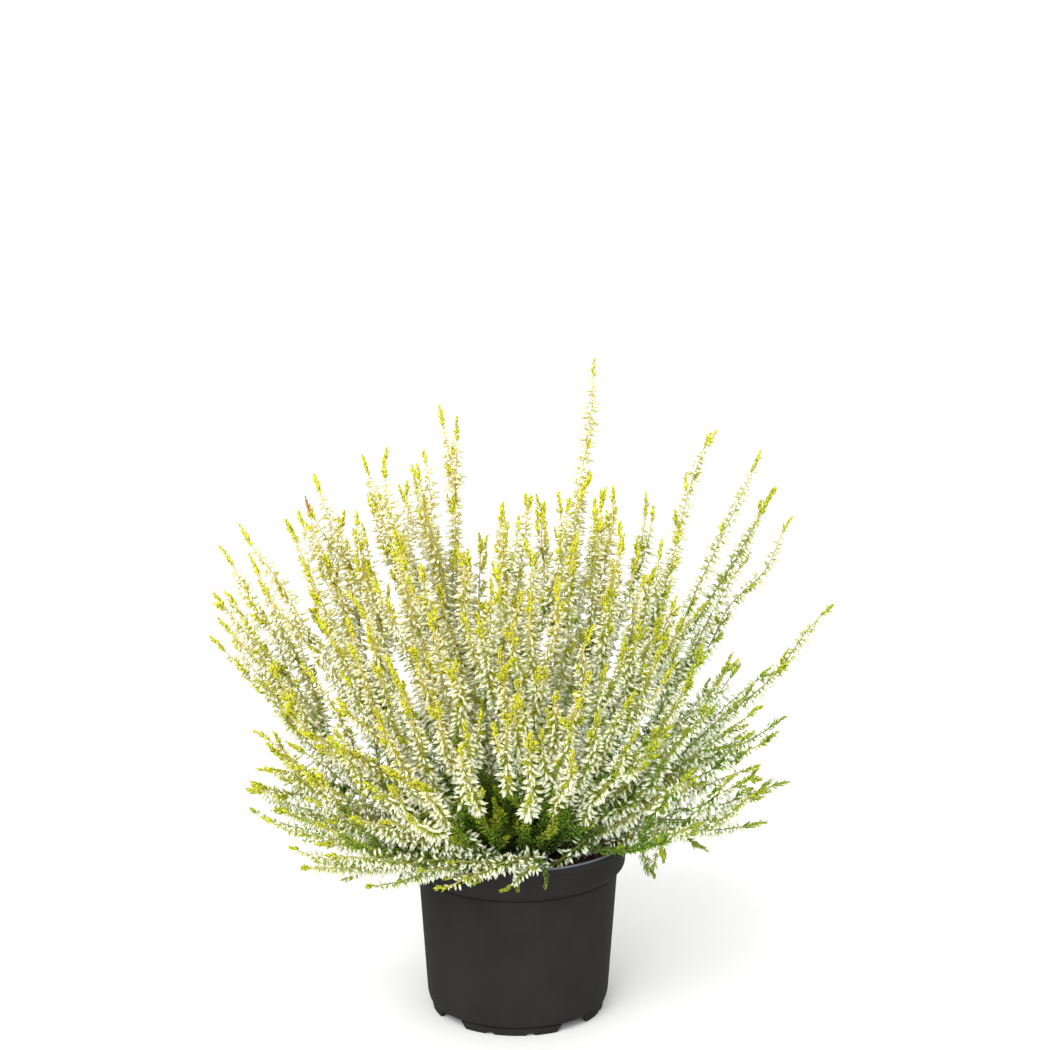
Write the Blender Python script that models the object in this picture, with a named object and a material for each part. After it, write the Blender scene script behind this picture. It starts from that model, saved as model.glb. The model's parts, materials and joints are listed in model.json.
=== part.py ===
"""Heather in flower in a round black nursery pot, as its stems, soil and pot.

Metres, +Z up. The pot's axis is Z and its feet stand on Z = 0. The bush was measured from
the front, which faces -Y.
"""

import math

import bmesh
import bpy
import numpy as np
from mathutils import Vector

MM = 0.001

# Pot: outer sizes of a 12 cm nursery pot
POT_HEIGHT = 96 * MM
LIP_RADIUS = 60 * MM
LIP_HEIGHT = 4 * MM
BAND_RADIUS = 56.4 * MM
BAND_HEIGHT = 19.5 * MM
BODY_TOP_RADIUS = 51.7 * MM
BODY_FOOT_RADIUS = 47.2 * MM
FOOT_RADIUS = 45 * MM
FOOT_HEIGHT = 4.6 * MM
FOOT_WIDTH = 2.2 * MM
WALL = 1.2 * MM
FLOOR = 1.6 * MM
BAND_SLOPE = 0.8 * MM
BAND_CHAMFER = 3 * MM
HEEL_HEIGHT = 4 * MM
HEEL_DEPTH = 1 * MM
LIP_ROUND = 0.9 * MM
LIP_UNDERCUT = 0.4 * MM
POT_SIDES = 30

# Foot ring: four feet with a wide gap between them, and two small notches in each foot
FEET = 4
FEET_TURN = math.radians(-95)
WIDE_GAP = math.radians(22)
SMALL_NOTCH = math.radians(5)
SMALL_NOTCH_OFF_CENTRE = math.radians(13.5)
SMALL_NOTCH_HEIGHT = 1.4 * MM
DRAIN_HOLE_RADIUS = 3.5 * MM
DRAIN_RING_RADIUS = 34 * MM
DRAIN_HOLES = 8
DRAIN_HOLE_SIDES = 8

# Soil
SOIL_DROP = 9 * MM
SOIL_GAP = 0.3 * MM
SOIL_SIDES = 20
SOIL_LUMP = 0.6 * MM
SOIL_CROWN = 1.5 * MM
SOIL_RINGS = (0.97, 0.65, 0.3)
HOLE_DEPTH = 12 * MM
HOLE_GAP = 0.35 * MM

# Stems: three-sided, with a floret or leaf raised on every face
STEM_RADIUS = 1.6 * MM
CORE_RADIUS = 2.8 * MM
CORE_SHARE = 0.45
WHORL_STEP = 18 * MM
CROWN_RADIUS = 37 * MM
FOOT_RISE = 3 * MM
SET_OFF_BEND = math.radians(14)
STRAIGHT_WITHIN = math.radians(30)
TIP_BEND_SHARE = 0.3
START_PULL = 0.3
END_PULL = 0.36
DROOP_START_UP, DROOP_START_OUT = 0.64, 0.38
DROOP_END_UP, DROOP_END_OUT = 0.48, -0.05
FORK_MOTHER_SHARE = 0.45
FORK_TIP_SHARE = 0.5
SIDE_START_ALONG, SIDE_START_ASIDE = 0.8, 0.6
SIDE_END_ALONG = 0.5
BRANCHES = 54
MOST_SIDE_SHOOTS = 4
UPRIGHT_BARE_LENGTH = 48 * MM
SPREADING_BARE_LENGTH = 18 * MM
SIDE_BARE_LENGTH = 14 * MM
BARE_TIP_LENGTH = 12 * MM
FLORET_REACH = 6.2 * MM
TOP_FLORET_REACH = 4.6 * MM
LEAF_REACH = 3.4 * MM
LEAST_RISE = 0.8 * MM
LEAST_GAP = 0.35 * MM

# The bush's outer dome, on which the shoot tips lie that show inside its outline
DOME_CENTRE = Vector((0, 0, 90 * MM))
DOME_RADIUS = 150 * MM
DOME_HEIGHT = 200 * MM
EYE = Vector((3.7 * MM, -1452.6 * MM, 632.6 * MM))
STAGGER = 34 * MM
GOLDEN_ANGLE = math.radians(137.508)

# Shoot tips as seen from the front, in mm: across, and up from the floor. Each is where the line
# of sight to the tip passes the plane through the pot's axis.
SEEN_TIPS_MM = (
    # Tips that make the outline, from the left edge over the top to the right edge
    (-137, 122), (-134, 128), (-136, 147), (-127, 183), (-134, 198), (-145, 198), (-158, 203),
    (-155, 222), (-148, 223), (-152, 246), (-139, 259), (-117, 261), (-109, 272), (-102, 284),
    (-90, 263), (-82, 265), (-77, 273), (-79, 294), (-67, 292), (-58, 279), (-51, 289),
    (-47, 297), (-38, 320), (-7, 270), (2, 274), (27, 272), (33, 280), (39, 345), (41, 276),
    (49, 277), (64, 274), (80, 260), (96, 306), (121, 297), (129, 276), (140, 261), (161, 218),
    (126, 162), (131, 148), (128, 117), (122, 125),
    # Second row
    (-109, 240), (-95, 249), (-101, 211), (-81, 217), (-72, 230), (-63, 253), (-50, 238),
    (-31, 247), (-7, 238), (23, 228), (47, 223), (54, 253), (72, 236), (80, 221), (73, 210),
    (61, 207), (94, 194),
    # Third row
    (-110, 184), (-91, 167), (-66, 182), (-53, 192), (-30, 187), (-21, 213), (-7, 182),
    (-1, 208), (12, 185), (2, 168), (22, 169), (53, 194), (59, 171), (76, 197), (99, 163),
    # Front row
    (-112, 149), (-95, 149), (-113, 129), (-78, 122), (-70, 132), (-54, 125), (-26, 156),
    (-4, 158), (8, 150), (27, 157), (74, 144), (79, 151), (88, 130), (96, 100), (-106, 97),
)

# Tips of the shoots that hang over the rim, in mm
DROOPING_TIPS_MM = ((2, -78, 74), (72, -34, 80), (-63, -52, 82), (-28, 76, 82))

# Short leafy shoots without flowers, low in the bush all round
LEAFY_SHOOTS = 24
LEAFY_SPREAD = 62 * MM
LEAFY_RISE = 40 * MM

# Shoots on the far side, spread by a rule
FAR_SHOOTS = 34
FAR_LOWEST = math.radians(8)
FAR_HIGHEST = math.radians(78)
FAR_DEPTH = 132 * MM
FAR_HEIGHT = 184 * MM

# Spreading of crowded shoots
SPREAD_ROUNDS = 120
ROUNDS_PER_SEARCH = 8
SEARCH_MARGIN = 6 * MM
PUSH = 0.4
LONGEST_MOVE = 2 * MM
STIFFNESS = 0.12
TIP_PLAY = 0.25
ROOT_ROOM = 3.4 * MM
STEM_ROOM = 2.6 * MM
FLORET_ROOM = 6.2 * MM
LEAF_ROOM = 4 * MM
RIM_CLEARANCE = 0.8 * MM
RIM_INSIDE = 8 * MM
RIM_APPROACH = 18 * MM
LIP_EDGE = 1 * MM
NO_LIMIT = 1.0


def clear_scene():
    for obj in list(bpy.data.objects):
        bpy.data.objects.remove(obj)


def material(name, colour, roughness):
    made = bpy.data.materials.new(name)
    made.use_nodes = True
    shader = made.node_tree.nodes["Principled BSDF"]
    shader.inputs["Base Color"].default_value = (*colour, 1)
    shader.inputs["Roughness"].default_value = roughness
    shader.inputs["Metallic"].default_value = 0
    return made


def add_object(name, mesh, finish=None):
    obj = bpy.data.objects.new(name, mesh)
    bpy.context.scene.collection.objects.link(obj)
    if finish:
        mesh.materials.append(finish)
    return obj


def mesh_from(name, verts, faces):
    mesh = bpy.data.meshes.new(name)
    mesh.from_pydata(verts, [], faces)
    mesh.validate()
    return mesh


def keep_largest_shell(mesh):
    """Removes the tiny sealed pockets that can stay inside crossing stems."""
    bm = bmesh.new()
    bm.from_mesh(mesh)
    left = set(bm.verts)
    shells = []
    while left:
        shell = {left.pop()}
        edge = set(shell)
        while edge:
            edge = {e.other_vert(v) for v in edge for e in v.link_edges} - shell
            shell |= edge
        left -= shell
        shells.append(shell)
    shells.sort(key=len)
    for shell in shells[:-1]:
        bmesh.ops.delete(bm, geom=list(shell), context="VERTS")
    bm.to_mesh(mesh)
    bm.free()


def combine(obj, others, operation):
    """Joins the other objects to obj, or cuts them from it, in one Boolean, and removes them."""
    group = bpy.data.collections.new(obj.name + "_operands")
    bpy.context.scene.collection.children.link(group)
    for other in others:
        bpy.context.scene.collection.objects.unlink(other)
        group.objects.link(other)
    modifier = obj.modifiers.new("combine", "BOOLEAN")
    modifier.operation = operation
    modifier.operand_type = "COLLECTION"
    modifier.collection = group
    modifier.solver = "EXACT"
    graph = bpy.context.evaluated_depsgraph_get()
    result = bpy.data.meshes.new_from_object(obj.evaluated_get(graph))
    obj.modifiers.remove(modifier)
    keep_largest_shell(result)
    obj.data = result
    for other in others:
        bpy.data.objects.remove(other)
    bpy.data.collections.remove(group)


def lathe(name, profile, sides):
    """A closed solid turned about Z from (radius, height) points that run from axis to axis."""
    bm = bmesh.new()
    points = [bm.verts.new((radius, 0, height)) for radius, height in profile]
    edges = [bm.edges.new(pair) for pair in zip(points, points[1:])]
    bmesh.ops.spin(
        bm, geom=points + edges, cent=(0, 0, 0), axis=(0, 0, 1), angle=2 * math.pi,
        steps=sides, use_merge=True,
    )
    bmesh.ops.remove_doubles(bm, verts=bm.verts, dist=0.01 * MM)
    bmesh.ops.recalc_face_normals(bm, faces=bm.faces)
    mesh = bpy.data.meshes.new(name)
    bm.to_mesh(mesh)
    bm.free()
    return mesh


def ring_sector(name, inner, outer, low, high, middle, width):
    """A cutter: a block of a ring, between two radii, two heights and two angles."""
    verts = []
    for height in (low, high):
        for radius in (inner, outer):
            for side in (-0.5, 0, 0.5):
                angle = middle + side * width
                verts.append((radius * math.cos(angle), radius * math.sin(angle), height))
    bm = bmesh.new()
    made = [bm.verts.new(v) for v in verts]
    bmesh.ops.convex_hull(bm, input=made)
    bmesh.ops.recalc_face_normals(bm, faces=bm.faces)
    mesh = bpy.data.meshes.new(name)
    bm.to_mesh(mesh)
    bm.free()
    return add_object(name, mesh)


def prism(name, centre, radius, low, high, sides, turn=0.0):
    """A cutter: an upright prism."""
    verts = []
    for height in (low, high):
        for k in range(sides):
            angle = turn + 2 * math.pi * k / sides
            verts.append(
                (centre[0] + radius * math.cos(angle), centre[1] + radius * math.sin(angle), height)
            )
    faces = [tuple(reversed(range(sides))), tuple(range(sides, 2 * sides))]
    for k in range(sides):
        nxt = (k + 1) % sides
        faces.append((k, nxt, nxt + sides, k + sides))
    return add_object(name, mesh_from(name, verts, faces))


def pot_inner_profile():
    """The pot's inside, from the lip down to the floor, as (radius, height) points."""
    band_foot = POT_HEIGHT - BAND_HEIGHT
    return [
        (BAND_RADIUS + WALL, POT_HEIGHT - LIP_UNDERCUT),
        (BAND_RADIUS - WALL, POT_HEIGHT - 2 * WALL),
        (BAND_RADIUS - BAND_SLOPE - WALL, band_foot + BAND_CHAMFER + WALL / 2),
        (BODY_TOP_RADIUS - WALL, band_foot - WALL / 2),
        (BODY_FOOT_RADIUS - WALL, FOOT_HEIGHT + FLOOR + 3 * MM),
        (BODY_FOOT_RADIUS - 3 * MM, FOOT_HEIGHT + FLOOR),
    ]


def build_pot(finish):
    band_foot = POT_HEIGHT - BAND_HEIGHT
    outside = [
        (0, FOOT_HEIGHT),
        (FOOT_RADIUS - FOOT_WIDTH, FOOT_HEIGHT),
        (FOOT_RADIUS - FOOT_WIDTH, 0),
        (FOOT_RADIUS - 0.3 * MM, 0),
        (FOOT_RADIUS, FOOT_HEIGHT),
        (BODY_FOOT_RADIUS - HEEL_DEPTH, FOOT_HEIGHT + HEEL_DEPTH / 2),
        (BODY_FOOT_RADIUS, FOOT_HEIGHT + HEEL_HEIGHT),
        (BODY_TOP_RADIUS, band_foot),
        (BAND_RADIUS - BAND_SLOPE, band_foot + BAND_CHAMFER),
        (BAND_RADIUS, POT_HEIGHT - LIP_HEIGHT - LIP_UNDERCUT),
        (LIP_RADIUS - LIP_ROUND / 2, POT_HEIGHT - LIP_HEIGHT),
        (LIP_RADIUS, POT_HEIGHT - LIP_HEIGHT / 2),
        (LIP_RADIUS - LIP_ROUND, POT_HEIGHT),
    ]
    profile = outside + pot_inner_profile() + [(0, FOOT_HEIGHT + FLOOR)]
    pot = add_object("pot", lathe("pot", profile, POT_SIDES), finish)
    cutters = []
    foot_inner = FOOT_RADIUS - FOOT_WIDTH - 1.5 * MM
    foot_outer = FOOT_RADIUS + 3 * MM
    for k in range(FEET):
        foot_middle = FEET_TURN + 2 * math.pi * k / FEET
        gap_middle = foot_middle + math.pi / FEET
        cutters.append(
            ring_sector("gap", foot_inner, foot_outer, -1 * MM, FOOT_HEIGHT - HEEL_DEPTH / 2,
                        gap_middle, WIDE_GAP)
        )
        for side in (-1, 1):
            cutters.append(
                ring_sector("notch", foot_inner, foot_outer, -1 * MM, SMALL_NOTCH_HEIGHT,
                            foot_middle + side * SMALL_NOTCH_OFF_CENTRE, SMALL_NOTCH)
            )
    for k in range(DRAIN_HOLES):
        angle = FEET_TURN + 2 * math.pi * (k + 0.5) / DRAIN_HOLES
        centre = (DRAIN_RING_RADIUS * math.cos(angle), DRAIN_RING_RADIUS * math.sin(angle))
        cutters.append(
            prism("drain", centre, DRAIN_HOLE_RADIUS, FOOT_HEIGHT - 2 * MM,
                  FOOT_HEIGHT + FLOOR + 2 * MM, DRAIN_HOLE_SIDES, angle)
        )
    combine(pot, cutters, "DIFFERENCE")
    return pot


def soil_level(x, y):
    """Height of the lumpy soil surface, highest in the middle."""
    crown = SOIL_CROWN * (1 - math.hypot(x, y) / BAND_RADIUS)
    lumps = math.sin(x * 190) * math.cos(y * 230 + 1) + 0.5 * math.sin(x * 410 + y * 350)
    return POT_HEIGHT - SOIL_DROP + crown + SOIL_LUMP * lumps


def build_soil(finish, stem_feet):
    facets = math.cos(math.pi / POT_SIDES)
    inner = [(radius * facets - SOIL_GAP, height) for radius, height in pot_inner_profile()]
    top = POT_HEIGHT - SOIL_DROP
    profile = [(0, inner[5][1] + SOIL_GAP), (inner[5][0], inner[5][1] + SOIL_GAP)]
    profile += [inner[4], inner[3], inner[2], (inner[2][0], top - 2 * MM)]
    profile += [(inner[2][0] * share, top) for share in SOIL_RINGS] + [(0, top)]
    mesh = lathe("soil", profile, SOIL_SIDES)
    for vert in mesh.vertices:
        if vert.co.z > top - 1 * MM:
            vert.co.z = soil_level(vert.co.x, vert.co.y)
    soil = add_object("soil", mesh, finish)
    cutters = [
        prism("hole", foot, STEM_RADIUS + 2 * HOLE_GAP, top - HOLE_DEPTH - HOLE_GAP,
              POT_HEIGHT, 3)
        for foot in stem_feet
    ]
    combine(soil, cutters, "DIFFERENCE")
    return soil


def slide_to_dome(across, up, order):
    """Moves a tip along its line of sight to the dome, or past it, staggered, if it shows beyond."""
    direction = (Vector((across, 0, up)) - EYE).normalized()
    scale = Vector((1 / DOME_RADIUS, 1 / DOME_RADIUS, 1 / DOME_HEIGHT))
    start = (EYE - DOME_CENTRE) * scale
    step = direction * scale
    a = step.dot(step)
    b = start.dot(step)
    room = b * b - a * (start.dot(start) - 1)
    if room > 0.02 * a:
        return EYE + direction * ((-b - math.sqrt(room)) / a)
    return EYE + direction * (-b / a + STAGGER * math.sin(order * GOLDEN_ANGLE))


def far_tip(k):
    share = (k + 0.5) / FAR_SHOOTS
    azimuth = math.pi * (0.03 + 0.94 * ((k * 0.618034) % 1))
    rise = math.asin(
        math.sin(FAR_LOWEST) + share * (math.sin(FAR_HIGHEST) - math.sin(FAR_LOWEST))
    )
    length = 0.95 + 0.07 * math.sin(2.1 * k)
    return DOME_CENTRE + length * Vector((
        DOME_RADIUS * math.cos(rise) * math.cos(azimuth),
        FAR_DEPTH * math.cos(rise) * math.sin(azimuth),
        FAR_HEIGHT * math.sin(rise),
    ))


def leafy_tip(k):
    azimuth = k * GOLDEN_ANGLE
    out = LEAFY_SPREAD * (1 + 0.2 * math.sin(2.3 * k))
    rise = LEAFY_RISE * (1 + 0.3 * math.cos(1.7 * k))
    return Vector((out * math.cos(azimuth), out * math.sin(azimuth), POT_HEIGHT + rise))


def all_tips():
    """Every shoot tip, with the kind of its shoot."""
    tips = [(Vector(tip) * MM, "drooping") for tip in DROOPING_TIPS_MM]
    for k, (across, up) in enumerate(SEEN_TIPS_MM):
        tips.append((slide_to_dome(across * MM, up * MM, k), "flowering"))
    tips += [(far_tip(k), "flowering") for k in range(FAR_SHOOTS)]
    tips += [(leafy_tip(k), "leafy") for k in range(LEAFY_SHOOTS)]
    return tips


def choose_mothers(tips):
    """The tips whose shoots stand in the soil: the drooping ones, then each time the flowering
    tip whose direction is furthest from those chosen. The rest fork from the nearest with room,
    which carries a few flowering side shoots and one leafy one at most."""
    ways = [(tip - DOME_CENTRE).normalized() for tip, _ in tips]
    mothers = [k for k, (_, kind) in enumerate(tips) if kind == "drooping"]
    near = {k: math.pi for k, (_, kind) in enumerate(tips) if kind == "flowering"}
    upright = []
    newest = max(near, key=lambda k: tips[k][0].z)
    while len(mothers) + len(upright) < BRANCHES:
        upright.append(newest)
        near.pop(newest)
        for k in near:
            near[k] = min(near[k], ways[k].angle(ways[newest]))
        newest = max(near, key=lambda k: near[k])
    mother_of = {}
    for kind, most in (("flowering", MOST_SIDE_SHOOTS), ("leafy", 1)):
        sides = {k: 0 for k in upright}
        others = [k for k in range(len(tips)) if tips[k][1] == kind and k not in upright]
        for _, k, m in sorted((ways[k].angle(ways[m]), k, m) for k in others for m in upright):
            if k not in mother_of and sides[m] < most:
                mother_of[k] = m
                sides[m] += 1
    return mothers + upright, mother_of


def bezier(a, b, c, d, count):
    t = np.linspace(0, 1, count)[:, None]
    a, b, c, d = (np.array(p) for p in (a, b, c, d))
    return a * (1 - t) ** 3 + 3 * b * t * (1 - t) ** 2 + 3 * c * t * t * (1 - t) + d * t**3


def arc_lengths(line):
    return np.concatenate(([0], np.linalg.norm(np.diff(line, axis=0), axis=1).cumsum()))


def samples_for(length):
    """An even number of steps, so that every second sample is a whorl."""
    return 2 * max(4, round(length / WHORL_STEP)) + 1


def stem_line(tip, kind):
    """A stem from the soil to its tip. It sets off lower than its tip lies and bends upwards."""
    up = Vector((0, 0, 1))
    flat = Vector((tip.x, tip.y, 0))
    lean = min((tip - DOME_CENTRE).angle(up) / (math.pi / 2), 1)
    foot = flat.normalized() * CROWN_RADIUS * lean ** 0.8
    foot.z = POT_HEIGHT - SOIL_DROP + FOOT_RISE
    reach = tip - foot
    length = reach.length
    way = reach.normalized()
    if kind == "drooping":
        out = flat.normalized()
        start = foot + (up * DROOP_START_UP + out * DROOP_START_OUT) * length
        end = tip + (up * DROOP_END_UP + out * DROOP_END_OUT) * length
    else:
        rise = math.asin(way.z)
        upright = math.pi / 2 - rise
        low = rise - SET_OFF_BEND * min(1, upright / STRAIGHT_WITHIN)
        high = rise + TIP_BEND_SHARE * upright
        out = flat.normalized()
        start = foot + (out * math.cos(low) + up * math.sin(low)) * length * START_PULL
        end = tip - (out * math.cos(high) + up * math.sin(high)) * length * END_PULL
    return bezier(foot, start, end, tip, samples_for(length)), lean


def side_line(mother, tip):
    """A side shoot that leaves its mother stem smoothly. Returns its line and the fork's index."""
    tip = np.array(tip)
    foot = mother[0]
    far = min(FORK_MOTHER_SHARE * np.linalg.norm(mother[-1] - foot),
              FORK_TIP_SHARE * np.linalg.norm(tip - foot))
    fork = int(np.searchsorted(arc_lengths(mother), far))
    fork += fork % 2
    base = mother[fork]
    length = np.linalg.norm(tip - base)
    way = (tip - base) / length
    tangent = mother[fork + 1] - mother[fork - 1]
    tangent /= np.linalg.norm(tangent)
    aside = way - tangent * (way @ tangent)
    aside /= max(np.linalg.norm(aside), 0.01)
    set_off = tangent * SIDE_START_ALONG + aside * SIDE_START_ASIDE
    arrival = way + tangent * SIDE_END_ALONG
    arrival /= np.linalg.norm(arrival)
    start = base + set_off * length * START_PULL
    end = tip - arrival * length * END_PULL
    return bezier(base, start, end, tip, samples_for(length)), fork


def grow_shoots():
    """Every shoot as a dict: its kind, its line of points, its branch, where it forks from its
    mother, and the length at its foot that bears no flowers."""
    tips = all_tips()
    mothers, mother_of = choose_mothers(tips)
    shoots = []
    for number, k in enumerate(mothers):
        line, lean = stem_line(*tips[k])
        bare = UPRIGHT_BARE_LENGTH + (SPREADING_BARE_LENGTH - UPRIGHT_BARE_LENGTH) * lean
        shoots.append({"kind": tips[k][1], "line": line, "branch": number, "mother": None,
                       "bare": bare})
    for k, mother in sorted(mother_of.items()):
        number = mothers.index(mother)
        line, fork = side_line(shoots[number]["line"], tips[k][0])
        shoots.append({"kind": tips[k][1], "line": line, "branch": number, "mother": number,
                       "fork": fork, "bare": SIDE_BARE_LENGTH})
    return shoots


def room_along(shoot):
    """Half the room that the shoot wants at each sample, from its foot to its tip."""
    along = arc_lengths(shoot["line"])
    widest = LEAF_ROOM if shoot["kind"] == "leafy" else FLORET_ROOM
    first = ROOT_ROOM if shoot["mother"] is None else STEM_ROOM
    room = np.interp(along, (0, shoot["bare"] / 2, shoot["bare"] * 1.5),
                     (first, STEM_ROOM, widest))
    left = along[-1] - along
    return np.minimum(room, np.interp(left, (0, BARE_TIP_LENGTH), (STEM_ROOM, widest)))


def push_off_pot(points, room):
    """Moves that lift points over the soil and the pot's lip, and keep hanging ones off the pot."""
    radius = np.linalg.norm(points[:, :2], axis=1)
    over_soil = POT_HEIGHT - SOIL_DROP + FOOT_RISE
    least = np.interp(radius, (LIP_RADIUS - RIM_APPROACH, LIP_RADIUS - RIM_INSIDE),
                      (over_soil, POT_HEIGHT + RIM_CLEARANCE)) + room
    moves = np.zeros_like(points)
    moves[:, 2] = np.where(radius < LIP_RADIUS, np.clip(least - points[:, 2], 0, None), 0)
    out = points[:, :2] / np.maximum(radius, MM)[:, None]
    from_lip = np.column_stack((out * (radius - LIP_RADIUS + LIP_EDGE)[:, None],
                                points[:, 2] - POT_HEIGHT + LIP_EDGE))
    distance = np.maximum(np.linalg.norm(from_lip, axis=1), 0.1 * MM)
    short = np.where(radius < LIP_RADIUS, 0, room + RIM_CLEARANCE + LIP_EDGE - distance)
    return moves + from_lip * (np.clip(short, 0, None) / distance)[:, None]


def close_pairs(points, want):
    """Pairs of samples that crowd each other or may soon do so, and the distance they want."""
    away = points[:, None].astype(np.float32) - points[None, :].astype(np.float32)
    near = (away * away).sum(2) < (want + SEARCH_MARGIN) ** 2
    first, second = np.nonzero(near & (want > 0))
    return first, second, want[first, second]


def spread_shoots(shoots):
    """Bends shoots that crowd each other apart. Feet slide on the soil, and forks stay joined."""
    rooms = np.concatenate([room_along(s) for s in shoots])
    owner = np.concatenate([np.full(len(s["line"]), k) for k, s in enumerate(shoots)])
    branch = np.array([s["branch"] for s in shoots])[owner]
    order = np.concatenate([np.arange(len(s["line"])) for s in shoots])
    near_fork = np.array([s["mother"] is not None for s in shoots])[owner] & (order < 2)
    apart = owner[:, None] != owner[None, :]
    apart &= ~((near_fork[:, None] | near_fork[None, :]) & (branch[:, None] == branch[None, :]))
    want = ((rooms[:, None] + rooms[None, :]) * apart).astype(np.float32)
    starts = np.cumsum([0] + [len(s["line"]) for s in shoots])
    for turn in range(SPREAD_ROUNDS):
        points = np.concatenate([s["line"] for s in shoots])
        if turn % ROUNDS_PER_SEARCH == 0:
            first, second, wanted = close_pairs(points, want)
        away = points[first] - points[second]
        distance = np.maximum(np.linalg.norm(away, axis=1), 0.1 * MM)
        push = PUSH * away * (np.clip(wanted - distance, 0, None) / distance)[:, None]
        moves = np.column_stack([np.bincount(first, push[:, k], len(points)) for k in range(3)])
        moves += push_off_pot(points, rooms)
        for k, shoot in enumerate(shoots):
            move = moves[starts[k]:starts[k + 1]]
            line = shoot["line"]
            stiff = np.zeros_like(line)
            stiff[1:-1] = (line[:-2] + line[2:]) / 2 - line[1:-1]
            inner = 0.5 * move[1:-1] + 0.25 * (move[:-2] + move[2:])
            move = np.concatenate((move[:1], inner, move[-1:] * TIP_PLAY))
            if shoot["mother"] is None:
                move[0, 2] = 0
                move[1] = (move[0] + move[1]) / 2
            line = line + np.clip(move, -LONGEST_MOVE, LONGEST_MOVE) + STIFFNESS * stiff
            line[1::2] = (line[:-2:2] + line[2::2]) / 2
            shoot["line"] = line
        for shoot in shoots:
            if shoot["mother"] is not None:
                shoot["line"][0] = shoots[shoot["mother"]]["line"][shoot["fork"]]


def floret_reach(shoot):
    """How far florets or leaves stand out from the axis at each whorl, before crowding."""
    along = arc_lengths(shoot["whorls"])
    middle = (along[:-1] + along[1:]) / 2
    if shoot["kind"] == "leafy":
        return np.where(middle < shoot["bare"], 0, LEAF_REACH)
    share = middle / along[-1]
    reach = FLORET_REACH + (TOP_FLORET_REACH - FLORET_REACH) * share
    return np.where(middle < shoot["bare"], 0, reach)


def limit_reach(shoots, pieces=5):
    """Sets each whorl's reach so that florets keep clear of other shoots, the pot and the soil.
    The bare foot of a side shoot may cross its own branch, which it is joined to."""
    points, owners, joined = [], [], []
    shares = np.linspace(0, 1, pieces, endpoint=False)[:, None]
    for number, shoot in enumerate(shoots):
        shoot["whorls"] = shoot["line"][::2]
        shoot["reach"] = floret_reach(shoot)
        for a, b in zip(shoot["whorls"], shoot["whorls"][1:]):
            points.extend(a * (1 - shares) + b * shares)
        points.append(shoot["whorls"][-1])
        owners.extend([number] * (len(points) - len(owners)))
        steps = np.arange(len(points) - len(joined)) / pieces
        joined.extend((steps < 1.3) & (shoot["mother"] is not None))
    points = np.array(points)
    owners = np.array(owners)
    joined = np.array(joined)
    branches = np.array([s["branch"] for s in shoots])[owners]
    radii = np.empty(len(points))
    for k, point in enumerate(points):
        others = (owners != owners[k]) & ~((branches == branches[k]) & (joined | joined[k]))
        radii[k] = np.linalg.norm(points[others] - point, axis=1).min() / 2
    flat = np.linalg.norm(points[:, :2], axis=1)
    height = points[:, 2] - POT_HEIGHT
    lip = np.hypot(flat - LIP_RADIUS + LIP_EDGE, height + LIP_EDGE) - 1.4 * LIP_EDGE
    lip = np.where(flat < LIP_RADIUS - LIP_EDGE, height, lip)
    lip = np.where(flat < LIP_RADIUS - LIP_EDGE - RIM_INSIDE, NO_LIMIT, lip)
    soil = height + SOIL_DROP - SOIL_CROWN - 1.5 * SOIL_LUMP
    soil = np.where(flat < BAND_RADIUS, np.maximum(soil, STEM_RADIUS), NO_LIMIT)
    radii = np.minimum(radii, np.minimum(lip, soil)) - LEAST_GAP
    at = 0
    for shoot in shoots:
        steps = len(shoot["whorls"]) - 1
        own = radii[at:at + steps * pieces + 1]
        at += steps * pieces + 1
        for k in range(steps):
            nearby = own[max(0, (k - 1) * pieces + 3):(k + 2) * pieces - 2]
            shoot["reach"][k] = min(shoot["reach"][k], nearby.min())


def ring_frames(whorls):
    """A pair of axes across the stem at each whorl, turning as little as they can."""
    tangents = np.gradient(whorls, axis=0)
    tangents /= np.linalg.norm(tangents, axis=1)[:, None]
    across = np.array((1.0, 0, 0))
    frames = []
    for tangent in tangents:
        across = across - tangent * (across @ tangent)
        across = across / np.linalg.norm(across)
        frames.append((across, np.cross(tangent, across)))
    return frames


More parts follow.
